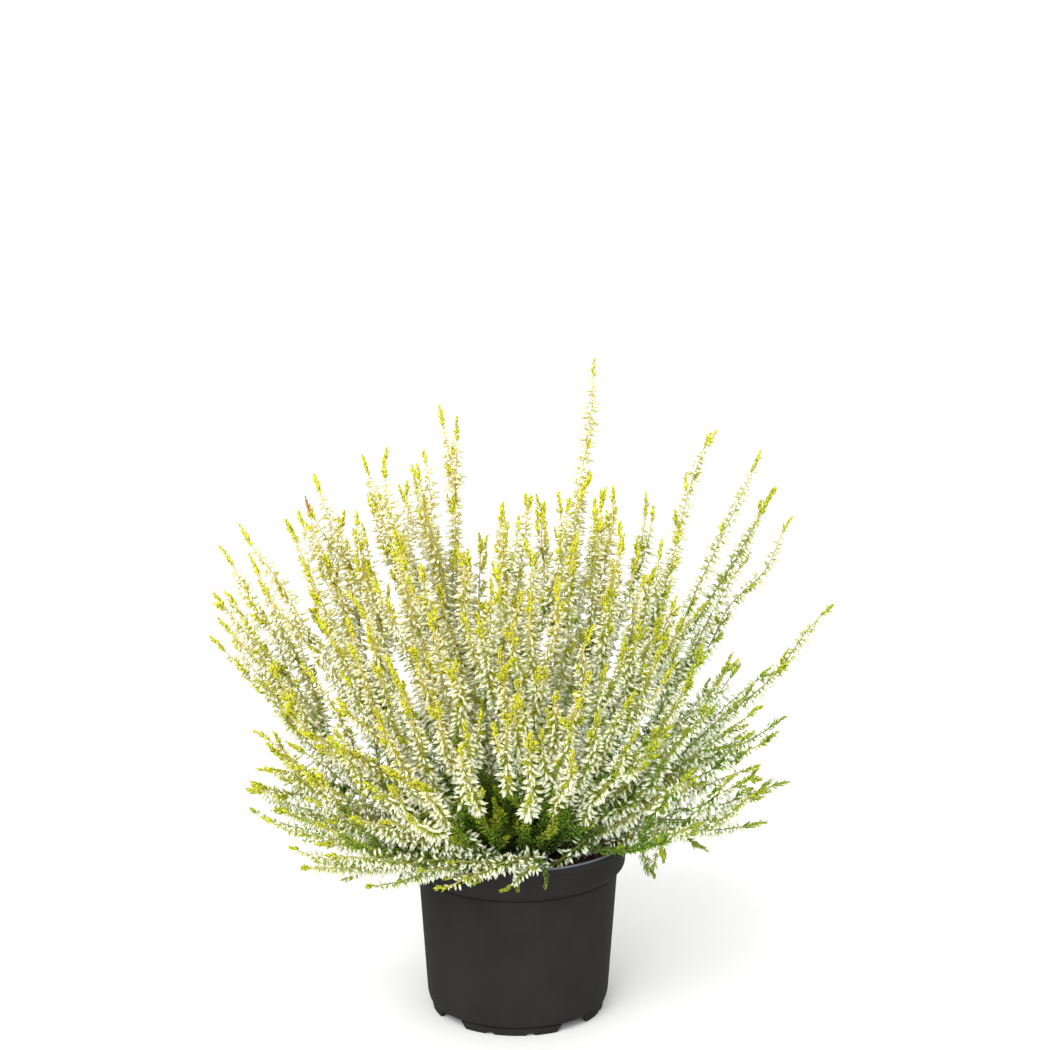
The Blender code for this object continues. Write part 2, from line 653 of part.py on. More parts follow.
def shoot_mesh(name, shoot):
    """A three-sided stem whose rings turn by a sixth each time. Each of the six faces between two
    rings is drawn out to a point, so that it is one floret or leaf."""
    whorls = shoot["whorls"]
    frames = ring_frames(whorls)
    wide = np.clip(CORE_SHARE * shoot["reach"], STEM_RADIUS, CORE_RADIUS)
    radii = np.minimum(np.append(STEM_RADIUS, wide[:-1]), wide)
    rooted = shoot["mother"] is None
    verts, faces = [], []

    def add_ring(centre, frame, radius, turn):
        for k in range(3):
            angle = turn + 2 * math.pi * k / 3
            offset = frame[0] * math.cos(angle) + frame[1] * math.sin(angle)
            verts.append(centre + offset * radius)

    if rooted:
        upright = (np.array((1.0, 0, 0)), np.array((0, 1.0, 0)))
        frames[0] = upright
        bottom = whorls[0].copy()
        bottom[2] = POT_HEIGHT - SOIL_DROP - HOLE_DEPTH + HOLE_GAP
        add_ring(bottom, upright, STEM_RADIUS, 0)
    for k, centre in enumerate(whorls[:-1]):
        add_ring(centre, frames[k], radii[k], k * math.pi / 3)
    verts.append(whorls[-1])
    tip = len(verts) - 1
    faces.append((2, 1, 0))
    first = 0
    if rooted:
        for k in range(3):
            nxt = (k + 1) % 3
            faces.append((k, nxt, nxt + 3))
            faces.append((k, nxt + 3, k + 3))
        first = 3

    def add_floret(corners, middle, reach):
        points = np.array([verts[c] for c in corners])
        foot = points.mean(0)
        out = foot - middle
        spread = np.linalg.norm(out)
        if reach < spread + LEAST_RISE:
            faces.append(corners)
            return
        verts.append(middle + out / spread * reach)
        peak = len(verts) - 1
        for a, b in zip(corners, corners[1:] + corners[:1]):
            faces.append((a, b, peak))

    for step in range(len(whorls) - 2):
        low = first + 3 * step
        high = low + 3
        lower = whorls[step] * 2 / 3 + whorls[step + 1] / 3
        upper = whorls[step] / 3 + whorls[step + 1] * 2 / 3
        reach = shoot["reach"][step]
        for k in range(3):
            nxt = (k + 1) % 3
            add_floret((low + k, low + nxt, high + k), lower, reach)
            add_floret((low + nxt, high + nxt, high + k), upper, reach)
    last = first + 3 * (len(whorls) - 2)
    for k in range(3):
        faces.append((last + k, last + (k + 1) % 3, tip))
    return mesh_from(name, [tuple(v) for v in verts], faces)


def build_branches(shoots, finish):
    for number in range(BRANCHES):
        members = [s for s in shoots if s["branch"] == number]
        name = f"branch_{number + 1:02d}"
        branch = add_object(name, shoot_mesh(name, members[0]), finish)
        sides = [add_object("side", shoot_mesh("side", s)) for s in members[1:]]
        if sides:
            combine(branch, sides, "UNION")


def main():
    clear_scene()
    shoots = grow_shoots()
    spread_shoots(shoots)
    limit_reach(shoots)
    feet = [s["line"][0][:2] for s in shoots if s["mother"] is None]
    build_pot(material("black_plastic", (0.036, 0.035, 0.034), 0.45))
    build_soil(material("peat", (0.06, 0.028, 0.018), 0.95), feet)
    build_branches(shoots, material("heather", (0.62, 0.64, 0.42), 0.6))


main()
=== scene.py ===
import json
import math

import bmesh
import bpy
import numpy as np
from mathutils import Matrix, Vector, noise

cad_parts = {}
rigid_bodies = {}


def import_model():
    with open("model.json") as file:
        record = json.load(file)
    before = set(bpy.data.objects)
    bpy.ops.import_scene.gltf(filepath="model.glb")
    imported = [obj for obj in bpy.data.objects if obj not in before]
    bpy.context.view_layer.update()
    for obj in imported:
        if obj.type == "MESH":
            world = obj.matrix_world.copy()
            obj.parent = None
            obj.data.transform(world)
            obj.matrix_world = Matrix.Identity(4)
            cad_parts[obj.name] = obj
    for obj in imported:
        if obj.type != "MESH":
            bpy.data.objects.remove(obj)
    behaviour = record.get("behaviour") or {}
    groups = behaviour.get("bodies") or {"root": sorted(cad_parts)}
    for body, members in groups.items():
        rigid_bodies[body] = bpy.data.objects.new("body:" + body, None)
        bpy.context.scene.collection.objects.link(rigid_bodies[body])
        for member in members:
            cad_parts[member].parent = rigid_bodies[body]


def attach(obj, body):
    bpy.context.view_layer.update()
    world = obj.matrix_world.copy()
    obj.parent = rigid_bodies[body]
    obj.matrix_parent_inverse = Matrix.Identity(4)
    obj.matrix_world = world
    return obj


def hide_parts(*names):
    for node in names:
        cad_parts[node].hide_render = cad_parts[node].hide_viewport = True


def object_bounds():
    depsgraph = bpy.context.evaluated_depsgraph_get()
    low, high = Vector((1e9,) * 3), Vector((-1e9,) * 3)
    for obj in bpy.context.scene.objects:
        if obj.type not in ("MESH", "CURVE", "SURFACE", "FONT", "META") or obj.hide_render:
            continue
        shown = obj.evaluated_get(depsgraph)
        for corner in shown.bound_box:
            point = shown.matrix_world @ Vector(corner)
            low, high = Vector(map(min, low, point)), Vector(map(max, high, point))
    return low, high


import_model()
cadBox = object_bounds()
mm = 0.001
quarterTurn = math.pi / 2

# Where the stems run. The same rule lays out the solid branches that the sprays stand for.
pot = {
    "height": 96 * mm, "lipRadius": 60 * mm, "lipHeight": 4 * mm, "bandRadius": 56.4 * mm,
    "bandHeight": 19.5 * mm, "bodyTopRadius": 51.7 * mm, "bodyFootRadius": 47.2 * mm,
    "footRadius": 45 * mm, "footHeight": 4.6 * mm, "footWidth": 2.2 * mm, "wall": 1.2 * mm,
    "floor": 1.6 * mm, "bandSlope": 0.8 * mm, "bandChamfer": 3 * mm, "heelHeight": 4 * mm,
    "heelDepth": 1 * mm, "lipRound": 0.9 * mm, "lipUndercut": 0.4 * mm, "grooveDepth": 0.6 * mm,
    "sides": 144, "sharpFrom": math.radians(38), "feet": 4, "feetTurn": math.radians(-95),
    "wideGap": math.radians(22), "gapSlant": math.radians(3.2), "smallNotch": math.radians(5),
    "notchSlant": math.radians(2), "smallNotchOffCentre": math.radians(13.5),
    "smallNotchHeight": 1.4 * mm, "drainHoles": 8, "drainHoleRadius": 3.5 * mm,
    "drainRingRadius": 34 * mm, "drainHoleSides": 24, "drainCutDepth": 8 * mm,
    "footCutInside": 1.5 * mm, "footCutOutside": 3 * mm, "footCutSteps": 6, "mostOfSide": 0.48,
}
soil = {"drop": 9 * mm, "gap": 0.3 * mm, "lump": 0.6 * mm, "crown": 1.5 * mm, "holeDepth": 12 * mm}
bush = {
    "domeCentre": Vector((0, 0, 90 * mm)), "domeRadius": 150 * mm, "domeHeight": 200 * mm,
    "eye": Vector((3.7 * mm, -1452.6 * mm, 632.6 * mm)), "edgeShare": 0.02, "stagger": 34 * mm,
    "goldenAngle": math.radians(137.508), "goldenShare": 0.618034, "branches": 54,
    "mostSideShoots": 4, "crownRadius": 37 * mm, "footRise": 3 * mm, "whorlStep": 18 * mm,
    "setOffBend": math.radians(14), "straightWithin": math.radians(30), "tipBendShare": 0.3,
    "droopStart": (0.64, 0.38), "droopEnd": (0.48, 0.05), "startPull": 0.3, "endPull": 0.36,
    "forkMotherShare": 0.45, "forkTipShare": 0.5, "forkTurn": (0.8, 0.6), "forkArrival": 0.5,
    "uprightBareLength": 48 * mm, "spreadingBareLength": 18 * mm, "sideBareLength": 14 * mm,
    "bareTipLength": 12 * mm, "leafyShoots": 24, "leafySpread": 62 * mm, "leafyRise": 40 * mm,
    "farShoots": 34, "farLowest": math.radians(8), "farHighest": math.radians(78),
    "farSweep": (0.03, 0.94), "farDepth": 132 * mm, "farHeight": 184 * mm,
    # a mean, and how much and how often it changes from tip to tip
    "farLength": (0.95, 0.07, 2.1), "leafyOut": (1, 0.2, 2.3), "leafyUp": (1, 0.3, 1.7),
}
# Shoot tips in mm as seen from the front: across, and up from the floor
seenTips = (
    # the outline, from the left edge over the top to the right edge
    (-137, 122), (-134, 128), (-136, 147), (-127, 183), (-134, 198), (-145, 198), (-158, 203),
    (-155, 222), (-148, 223), (-152, 246), (-139, 259), (-117, 261), (-109, 272), (-102, 284),
    (-90, 263), (-82, 265), (-77, 273), (-79, 294), (-67, 292), (-58, 279), (-51, 289),
    (-47, 297), (-38, 320), (-7, 270), (2, 274), (27, 272), (33, 280), (39, 345), (41, 276),
    (49, 277), (64, 274), (80, 260), (96, 306), (121, 297), (129, 276), (140, 261), (161, 218),
    (126, 162), (131, 148), (128, 117), (122, 125),
    # second row
    (-109, 240), (-95, 249), (-101, 211), (-81, 217), (-72, 230), (-63, 253), (-50, 238),
    (-31, 247), (-7, 238), (23, 228), (47, 223), (54, 253), (72, 236), (80, 221), (73, 210),
    (61, 207), (94, 194),
    # third row
    (-110, 184), (-91, 167), (-66, 182), (-53, 192), (-30, 187), (-21, 213), (-7, 182),
    (-1, 208), (12, 185), (2, 168), (22, 169), (53, 194), (59, 171), (76, 197), (99, 163),
    # front row
    (-112, 149), (-95, 149), (-113, 129), (-78, 122), (-70, 132), (-54, 125), (-26, 156),
    (-4, 158), (8, 150), (27, 157), (74, 144), (79, 151), (88, 130), (96, 100), (-106, 97),
)
droopingTips = ((2, -78, 74), (72, -34, 80), (-63, -52, 82), (-28, 76, 82))
spreading = {
    "rounds": 120, "roundsPerSearch": 8, "searchMargin": 6 * mm, "push": 0.4, "longestMove": 2 * mm,
    "stiffness": 0.12, "tipPlay": 0.25, "rootRoom": 3.4 * mm, "stemRoom": 2.6 * mm,
    "floretRoom": 6.2 * mm, "leafRoom": 4 * mm, "rimClearance": 0.8 * mm, "rimInside": 8 * mm,
    "rimApproach": 18 * mm, "lipEdge": 1 * mm, "nearest": 0.1 * mm,
}


def unit(way):
    return way / np.linalg.norm(way)


def steps(count):
    return np.linspace(0, 1, count)[:, None]


def shootOf(kind, line, branch=-1, mother=None, bare=0, lean=0, **more):
    return {"kind": kind, "line": line, "branch": branch, "mother": mother, "bare": bare,
            "lean": lean, **more}


def slideToDome(across, up, order):
    # along the line of sight, to the dome or past it
    direction = (Vector((across, 0, up)) - bush["eye"]).normalized()
    scale = Vector((1 / bush["domeRadius"], 1 / bush["domeRadius"], 1 / bush["domeHeight"]))
    start = (bush["eye"] - bush["domeCentre"]) * scale
    step = direction * scale
    a = step.dot(step)
    b = start.dot(step)
    room = b * b - a * (start.dot(start) - 1)
    if room > bush["edgeShare"] * a:
        return bush["eye"] + direction * ((-b - math.sqrt(room)) / a)
    return bush["eye"] + direction * (-b / a + bush["stagger"] * math.sin(order * bush["goldenAngle"]))


def onDome(places):
    return [slideToDome(across * mm, up * mm, k) for k, (across, up) in enumerate(places)]


def farTip(k):
    # a tip on the far side of the dome, where the photograph shows none
    share = (k + 0.5) / bush["farShoots"]
    first, sweep = bush["farSweep"]
    azimuth = math.pi * (first + sweep * ((k * bush["goldenShare"]) % 1))
    low, high = math.sin(bush["farLowest"]), math.sin(bush["farHighest"])
    rise = math.asin(low + share * (high - low))
    mean, change, step = bush["farLength"]
    length = mean + change * math.sin(step * k)
    return bush["domeCentre"] + length * Vector((
        bush["domeRadius"] * math.cos(rise) * math.cos(azimuth),
        bush["farDepth"] * math.cos(rise) * math.sin(azimuth),
        bush["farHeight"] * math.sin(rise),
    ))


def leafyTip(k):
    azimuth = k * bush["goldenAngle"]
    mean, change, step = bush["leafyOut"]
    out = bush["leafySpread"] * (mean + change * math.sin(step * k))
    mean, change, step = bush["leafyUp"]
    rise = bush["leafyRise"] * (mean + change * math.cos(step * k))
    return Vector((out * math.cos(azimuth), out * math.sin(azimuth), pot["height"] + rise))


def allTips():
    tips = [(Vector(tip) * mm, "drooping") for tip in droopingTips]
    tips += [(tip, "flowering") for tip in onDome(seenTips)]
    tips += [(farTip(k), "flowering") for k in range(bush["farShoots"])]
    return tips + [(leafyTip(k), "leafy") for k in range(bush["leafyShoots"])]


def chooseMothers(tips):
    # the shoots that stand in the soil, and which of them each other shoot forks from
    ways = [(tip - bush["domeCentre"]).normalized() for tip, _ in tips]
    drooping = [k for k, (_, kind) in enumerate(tips) if kind == "drooping"]
    near = {k: math.pi for k, (_, kind) in enumerate(tips) if kind == "flowering"}
    upright = []
    newest = max(near, key=lambda k: tips[k][0].z)
    while len(drooping) + len(upright) < bush["branches"]:
        upright.append(newest)
        near.pop(newest)
        for k in near:
            near[k] = min(near[k], ways[k].angle(ways[newest]))
        newest = max(near, key=lambda k: near[k])
    motherOf = {}
    for kind, most in (("flowering", bush["mostSideShoots"]), ("leafy", 1)):
        sides = {k: 0 for k in upright}
        others = [k for k in range(len(tips)) if tips[k][1] == kind and k not in upright]
        for _, k, m in sorted((ways[k].angle(ways[m]), k, m) for k in others for m in upright):
            if k not in motherOf and sides[m] < most:
                motherOf[k] = m
                sides[m] += 1
    return drooping + upright, motherOf


def bezier(a, b, c, d, length):
    # sampled once at each whorl and once between two
    t = steps(2 * max(4, round(length / bush["whorlStep"])) + 1)
    a, b, c, d = (np.array(p) for p in (a, b, c, d))
    return a * (1 - t) ** 3 + 3 * b * t * (1 - t) ** 2 + 3 * c * t * t * (1 - t) + d * t**3


def arcLengths(line):
    return np.concatenate(([0], np.linalg.norm(np.diff(line, axis=0), axis=1).cumsum()))


def stemLine(tip, kind):
    up = Vector((0, 0, 1))
    out = Vector((tip.x, tip.y, 0)).normalized()
    lean = min((tip - bush["domeCentre"]).angle(up) / quarterTurn, 1)
    foot = out * bush["crownRadius"] * lean ** 0.8
    foot.z = pot["height"] - soil["drop"] + bush["footRise"]
    length = (tip - foot).length
    if kind == "drooping":
        (startUp, startOut), (endUp, endIn) = bush["droopStart"], bush["droopEnd"]
        start = foot + (up * startUp + out * startOut) * length
        end = tip + (up * endUp - out * endIn) * length
    else:
        rise = math.asin((tip - foot).normalized().z)
        low = rise - bush["setOffBend"] * min(1, (quarterTurn - rise) / bush["straightWithin"])
        high = rise + bush["tipBendShare"] * (quarterTurn - rise)
        start = foot + (out * math.cos(low) + up * math.sin(low)) * length * bush["startPull"]
        end = tip - (out * math.cos(high) + up * math.sin(high)) * length * bush["endPull"]
    return bezier(foot, start, end, tip, length), lean


def sideLine(mother, tip):
    tip = np.array(tip)
    foot = mother[0]
    far = min(bush["forkMotherShare"] * np.linalg.norm(mother[-1] - foot),
              bush["forkTipShare"] * np.linalg.norm(tip - foot))
    fork = int(np.searchsorted(arcLengths(mother), far))
    fork += fork % 2
    base = mother[fork]
    length = np.linalg.norm(tip - base)
    way = (tip - base) / length
    tangent = unit(mother[fork + 1] - mother[fork - 1])
    aside = way - tangent * (way @ tangent)
    aside /= max(np.linalg.norm(aside), 0.01)
    on, off = bush["forkTurn"]
    start = base + (tangent * on + aside * off) * length * bush["startPull"]
    end = tip - unit(way + tangent * bush["forkArrival"]) * length * bush["endPull"]
    return bezier(base, start, end, tip, length), fork


def growShoots():
    tips = allTips()
    mothers, motherOf = chooseMothers(tips)
    shoots = []
    for number, k in enumerate(mothers):
        line, lean = stemLine(*tips[k])
        bare = bush["uprightBareLength"]
        bare += (bush["spreadingBareLength"] - bare) * lean
        shoots.append(shootOf(tips[k][1], line, number, None, bare, lean, tip=k))
    for k, mother in sorted(motherOf.items()):
        number = mothers.index(mother)
        line, fork = sideLine(shoots[number]["line"], tips[k][0])
        shoots.append(shootOf(tips[k][1], line, number, number, bush["sideBareLength"],
                              shoots[number]["lean"], tip=k, fork=fork))
    return shoots


def roomAlong(shoot):
    along = arcLengths(shoot["line"])
    stem = spreading["stemRoom"]
    widest = spreading["leafRoom"] if shoot["kind"] == "leafy" else spreading["floretRoom"]
    first = spreading["rootRoom"] if shoot["mother"] is None else stem
    room = np.interp(along, (0, shoot["bare"] / 2, shoot["bare"] * 1.5), (first, stem, widest))
    return np.minimum(room, np.interp(along[-1] - along, (0, bush["bareTipLength"]), (stem, widest)))


def pushOffPot(points, room):
    # lifts points over the soil and the lip, and keeps hanging ones off the pot
    radius = np.linalg.norm(points[:, :2], axis=1)
    overSoil = pot["height"] - soil["drop"] + bush["footRise"]
    least = np.interp(
        radius,
        (pot["lipRadius"] - spreading["rimApproach"], pot["lipRadius"] - spreading["rimInside"]),
        (overSoil, pot["height"] + spreading["rimClearance"]),
    ) + room
    moves = np.zeros_like(points)
    inside = radius < pot["lipRadius"]
    moves[:, 2] = np.where(inside, np.clip(least - points[:, 2], 0, None), 0)
    out = points[:, :2] / np.maximum(radius, mm)[:, None]
    fromLip = np.column_stack((out * (radius - pot["lipRadius"] + spreading["lipEdge"])[:, None],
                               points[:, 2] - pot["height"] + spreading["lipEdge"]))
    distance = np.maximum(np.linalg.norm(fromLip, axis=1), spreading["nearest"])
    short = room + spreading["rimClearance"] + spreading["lipEdge"] - distance
    short = np.where(inside, 0, np.clip(short, 0, None))
    return moves + fromLip * (short / distance)[:, None]


def closePairs(points, want):
    away = points[:, None].astype(np.float32) - points[None, :].astype(np.float32)
    near = (away * away).sum(2) < (want + spreading["searchMargin"]) ** 2
    first, second = np.nonzero(near & (want > 0))
    return first, second, want[first, second]


def spreadShoots(shoots):
    # bends shoots that crowd each other apart; feet slide on the soil and forks stay joined
    rooms = np.concatenate([roomAlong(s) for s in shoots])
    owner = np.concatenate([np.full(len(s["line"]), k) for k, s in enumerate(shoots)])
    branch = np.array([s["branch"] for s in shoots])[owner]
    order = np.concatenate([np.arange(len(s["line"])) for s in shoots])
    nearFork = np.array([s["mother"] is not None for s in shoots])[owner] & (order < 2)
    apart = owner[:, None] != owner[None, :]
    apart &= ~((nearFork[:, None] | nearFork[None, :]) & (branch[:, None] == branch[None, :]))
    want = ((rooms[:, None] + rooms[None, :]) * apart).astype(np.float32)
    starts = np.cumsum([0] + [len(s["line"]) for s in shoots])
    longest = spreading["longestMove"]
    for turn in range(spreading["rounds"]):
        points = np.concatenate([s["line"] for s in shoots])
        if turn % spreading["roundsPerSearch"] == 0:
            first, second, wanted = closePairs(points, want)
        away = points[first] - points[second]
        distance = np.maximum(np.linalg.norm(away, axis=1), spreading["nearest"])
        push = spreading["push"] * away * (np.clip(wanted - distance, 0, None) / distance)[:, None]
        moves = np.column_stack([np.bincount(first, push[:, k], len(points)) for k in range(3)])
        moves += pushOffPot(points, rooms)
        for k, shoot in enumerate(shoots):
            move = moves[starts[k]:starts[k + 1]]
            line = shoot["line"]
            stiff = np.zeros_like(line)
            stiff[1:-1] = (line[:-2] + line[2:]) / 2 - line[1:-1]
            inner = 0.5 * move[1:-1] + 0.25 * (move[:-2] + move[2:])
            move = np.concatenate((move[:1], inner, move[-1:] * spreading["tipPlay"]))
            if shoot["mother"] is None:
                move[0, 2] = 0
                move[1] = (move[0] + move[1]) / 2
            line = line + np.clip(move, -longest, longest) + spreading["stiffness"] * stiff
            line[1::2] = (line[:-2:2] + line[2::2]) / 2
            shoot["line"] = line
        for shoot in shoots:
            if shoot["mother"] is not None:
                shoot["line"][0] = shoots[shoot["mother"]]["line"][shoot["fork"]]


# Fine lines through the whorls, with what grows along them. A pair is the least and the most of a
# random draw.
growth = {
    "seed": 7, "curveSteps": 12, "lineStep": 1.2 * mm, "fewestSteps": 8, "overhang": -1 * mm,
    "fewestPoints": 12, "joinLength": 25 * mm, "wellInside": 6 * mm,
    "wave": 1.8 * mm, "waveSize": (0.4, 1.3), "waveLength": 75 * mm, "waveStretch": (0.7, 1.5),
    "woodRadius": 1.3 * mm, "shootRadius": 0.55 * mm, "topRadius": 0.3 * mm, "woodLength": 8 * mm,
    "rootDepths": (0.9, 0.15), "woodShare": 0.35, "middleRadius": 0.9,
    "thinness": {"tip": 0.55, "leafy": 0.7},
    "tipCone": 11 * mm, "coneSize": (0.7, 1.25),
    "coneShare": {"leafy": 0.55, "low": 0.5, "drooping": 0.5},
    "coneLeaf": 3.3 * mm, "coneLeafSplay": math.radians(27), "leafyLeaf": 3.2 * mm,
    "leafySplay": math.radians(52), "endLeaf": 0.6, "endSplay": 0.5,
    "droopsKept": (0.72, 0.95, 0.88, 0.95), "sideTips": 4, "lowSideTips": 1, "lowSprigs": 2,
    "sprigClear": 6 * mm, "dryTip": 16, "dryLength": 11 * mm, "dryFade": 4 * mm, "dryShrink": 0.4,
}
blooming = {
    "lowShare": 0.2, "lowSize": 1.04, "topSize": 0.92, "smallest": 0.4, "belowCone": 14 * mm,
    "coneSize": 0.62, "bareSize": (0.75, 1.05), "droopingBare": 0.5, "rise": 38 * mm,
    "fade": 12 * mm, "rimRoom": 5.5 * mm,
    # the leafy foot in front, between two directions in degrees, where the florets start higher
    "openFrom": -150, "openTo": -42, "openBare": 14 * mm, "openBareSize": (0.6, 1.2),
    "openRise": 31 * mm, "openRiseSize": (0.7, 1.2),
}
gilding = {
    "foot": 110 * mm, "rise": 170 * mm, "width": 280 * mm, "right": -0.34, "left": 0.17,
    "base": 0.17, "byHeight": 0.78, "byShare": 0.25, "spread": 0.1,
    "leafyBase": 0.06, "leafyByHeight": 0.2, "leafyByShare": 0.5, "leafySpread": 0.07,
    "bareLoss": 0.15, "tip": 0.4, "leafyTip": 0.14, "tipReach": 1.6,
    "shadeRise": 28 * mm, "shadeLoss": 0.2, "lowShade": 0.6,
}
# Shoots between the ones that show their tips, given as the seen tips are
fillTips = (
    (38, 205), (36, 180), (44, 160), (30, 143), (60, 150), (88, 178), (-42, 165), (-30, 142), (-15, 230),
    (8, 245), (30, 252), (66, 232), (-88, 195), (-60, 165), (-92, 140), (-45, 212), (-118, 165),
    (110, 190), (-75, 185), (-70, 150), (-128, 140),
)
crownTips = (
    (-8, 6, 262), (24, 30, 250), (-42, 18, 246), (52, 8, 236), (-22, 52, 240), (10, 66, 226), (-62, 44, 222),
    (50, 54, 214), (-34, 84, 200), (30, 92, 190), (-14, -28, 226), (30, -34, 214),
    (-37, -8, 230), (-54, 6, 214), (46, -14, 222),
)


def curveBetween(a, b, c, d, t):
    # the part of a Catmull-Rom curve that runs from b to c
    return 0.5 * (2 * b + (c - a) * t + (2 * a - 5 * b + 4 * c - d) * t * t + (3 * b - 3 * c + d - a) * t**3)


def smoothLine(points):
    # a curve through the points, sampled evenly
    ends = np.vstack((2 * points[0] - points[1], points, 2 * points[-1] - points[-2]))
    t = np.linspace(0, 1, growth["curveSteps"], endpoint=False)[:, None]
    fine = np.vstack([curveBetween(*ends[k:k + 4], t) for k in range(len(points) - 1)] + [points[-1:]])
    along = arcLengths(fine)
    even = np.linspace(0, along[-1], max(growth["fewestSteps"], round(along[-1] / growth["lineStep"])))
    return np.column_stack([np.interp(even, along, fine[:, k]) for k in range(3)])


def frameAlong(line):
    # each point's way along the line, and a side direction that turns as little as it can
    ways = np.gradient(line, axis=0)
    ways /= np.linalg.norm(ways, axis=1)[:, None]
    side = np.cross(ways[0], (0.0, 0.0, 1.0) if abs(ways[0, 2]) < 0.9 else (0.0, 1.0, 0.0))
    sides = []
    for way in ways:
        side = unit(side - way * (side @ way))
        sides.append(side)
    return ways, np.array(sides)


def potRoom(points):
    # how far each point is from the lip and the wall below it; 1 where it is well inside
    flat = np.linalg.norm(points[:, :2], axis=1)
    high = points[:, 2] - pot["height"]
    lip = np.hypot(flat - pot["lipRadius"], high)
    lip = np.where(high < 0, np.abs(flat - pot["lipRadius"]), lip)
    return np.where(flat < pot["lipRadius"] - growth["wellInside"], 1, lip)


def waved(line, rng):
    # slight bends that grow from nothing at the foot
    along = arcLengths(line)
    ways, sides = frameAlong(line)
    grown = np.clip(along / growth["waveLength"], 0, 1)
    for aside in (sides, np.cross(ways, sides)):
        turns = 2 * np.pi * along / (growth["waveLength"] * rng.uniform(*growth["waveStretch"]))
        size = growth["wave"] * rng.uniform(*growth["waveSize"])
        line = line + aside * (size * np.sin(turns + rng.uniform(0, 2 * np.pi)) * grown)[:, None]
    return line


def withinBox(line):
    # the shoot ends where it leaves the room that the solid model takes
    low, high = (np.array(corner) for corner in cadBox)
    out = ((line < low - growth["overhang"]) | (line > high + growth["overhang"])).any(axis=1)
    return line[:max(growth["fewestPoints"], int(np.argmax(out)))] if out.any() else line


def joinedTo(mother, line):
    # the foot of a side shoot moved onto its mother's fine line
    near = mother["line"][np.argmin(np.linalg.norm(mother["line"] - line[0], axis=1))]
    fading = np.clip(1 - arcLengths(line) / growth["joinLength"], 0, 1) ** 2
    return line + (near - line[0]) * fading[:, None]


def bloomAlong(shoot, line, along, cone, rng):
    # the size of the florets: none on the bare foot, in the tip's cone, low in the bush or at the pot
    kind = shoot["kind"]
    if kind in ("leafy", "tip"):
        return np.zeros_like(along)
    b = blooming
    left = along[-1] - along
    bare = shoot["bare"] * rng.uniform(*b["bareSize"]) * (b["droopingBare"] if kind == "drooping" else 1)
    lowest = pot["height"] + b["rise"] * (1 - shoot["lean"])
    lowest -= b["fade"] * shoot["lean"]
    turn = math.degrees(math.atan2(line[0, 1], line[0, 0]))
    if kind == "flowering" and b["openFrom"] < turn < b["openTo"]:
        bare += b["openBare"] * rng.uniform(*b["openBareSize"])
        lowest = max(lowest, pot["height"] + b["openRise"] * rng.uniform(*b["openRiseSize"]))
    bloom = np.interp(along / along[-1], (b["lowShare"], 1), (b["lowSize"], b["topSize"]))
    bloom *= (along > bare) & (left > cone)
    bloom *= np.interp(left, (cone, cone + b["belowCone"]), (b["coneSize"], 1))
    if kind in ("flowering", "sprig"):
        bloom *= np.clip((line[:, 2] - lowest) / b["fade"], 0, 1)
    bloom *= np.clip(potRoom(line) / b["rimRoom"], 0, 1)
    bloom[bloom < b["smallest"]] = 0
    return bloom


def goldAlong(line, share, kind, rng):
    # how yellow the growth is: most at the top and on the left, least low down and on the right
    g = gilding
    height = np.clip((line[:, 2] - g["foot"]) / g["rise"], 0, 1)
    if kind == "leafy":
        gold = g["leafyBase"] + g["leafyByShare"] * share ** 2 + g["leafyByHeight"] * height
        return gold + rng.normal(0, g["leafySpread"])
    side = np.clip(-line[:, 0] / g["width"], g["right"], g["left"]) * np.clip(0.3 + 3 * height, 0, 1)
    gold = g["base"] + g["byHeight"] * height + side + g["byShare"] * (share - 0.5)
    return gold + rng.normal(0, g["spread"])


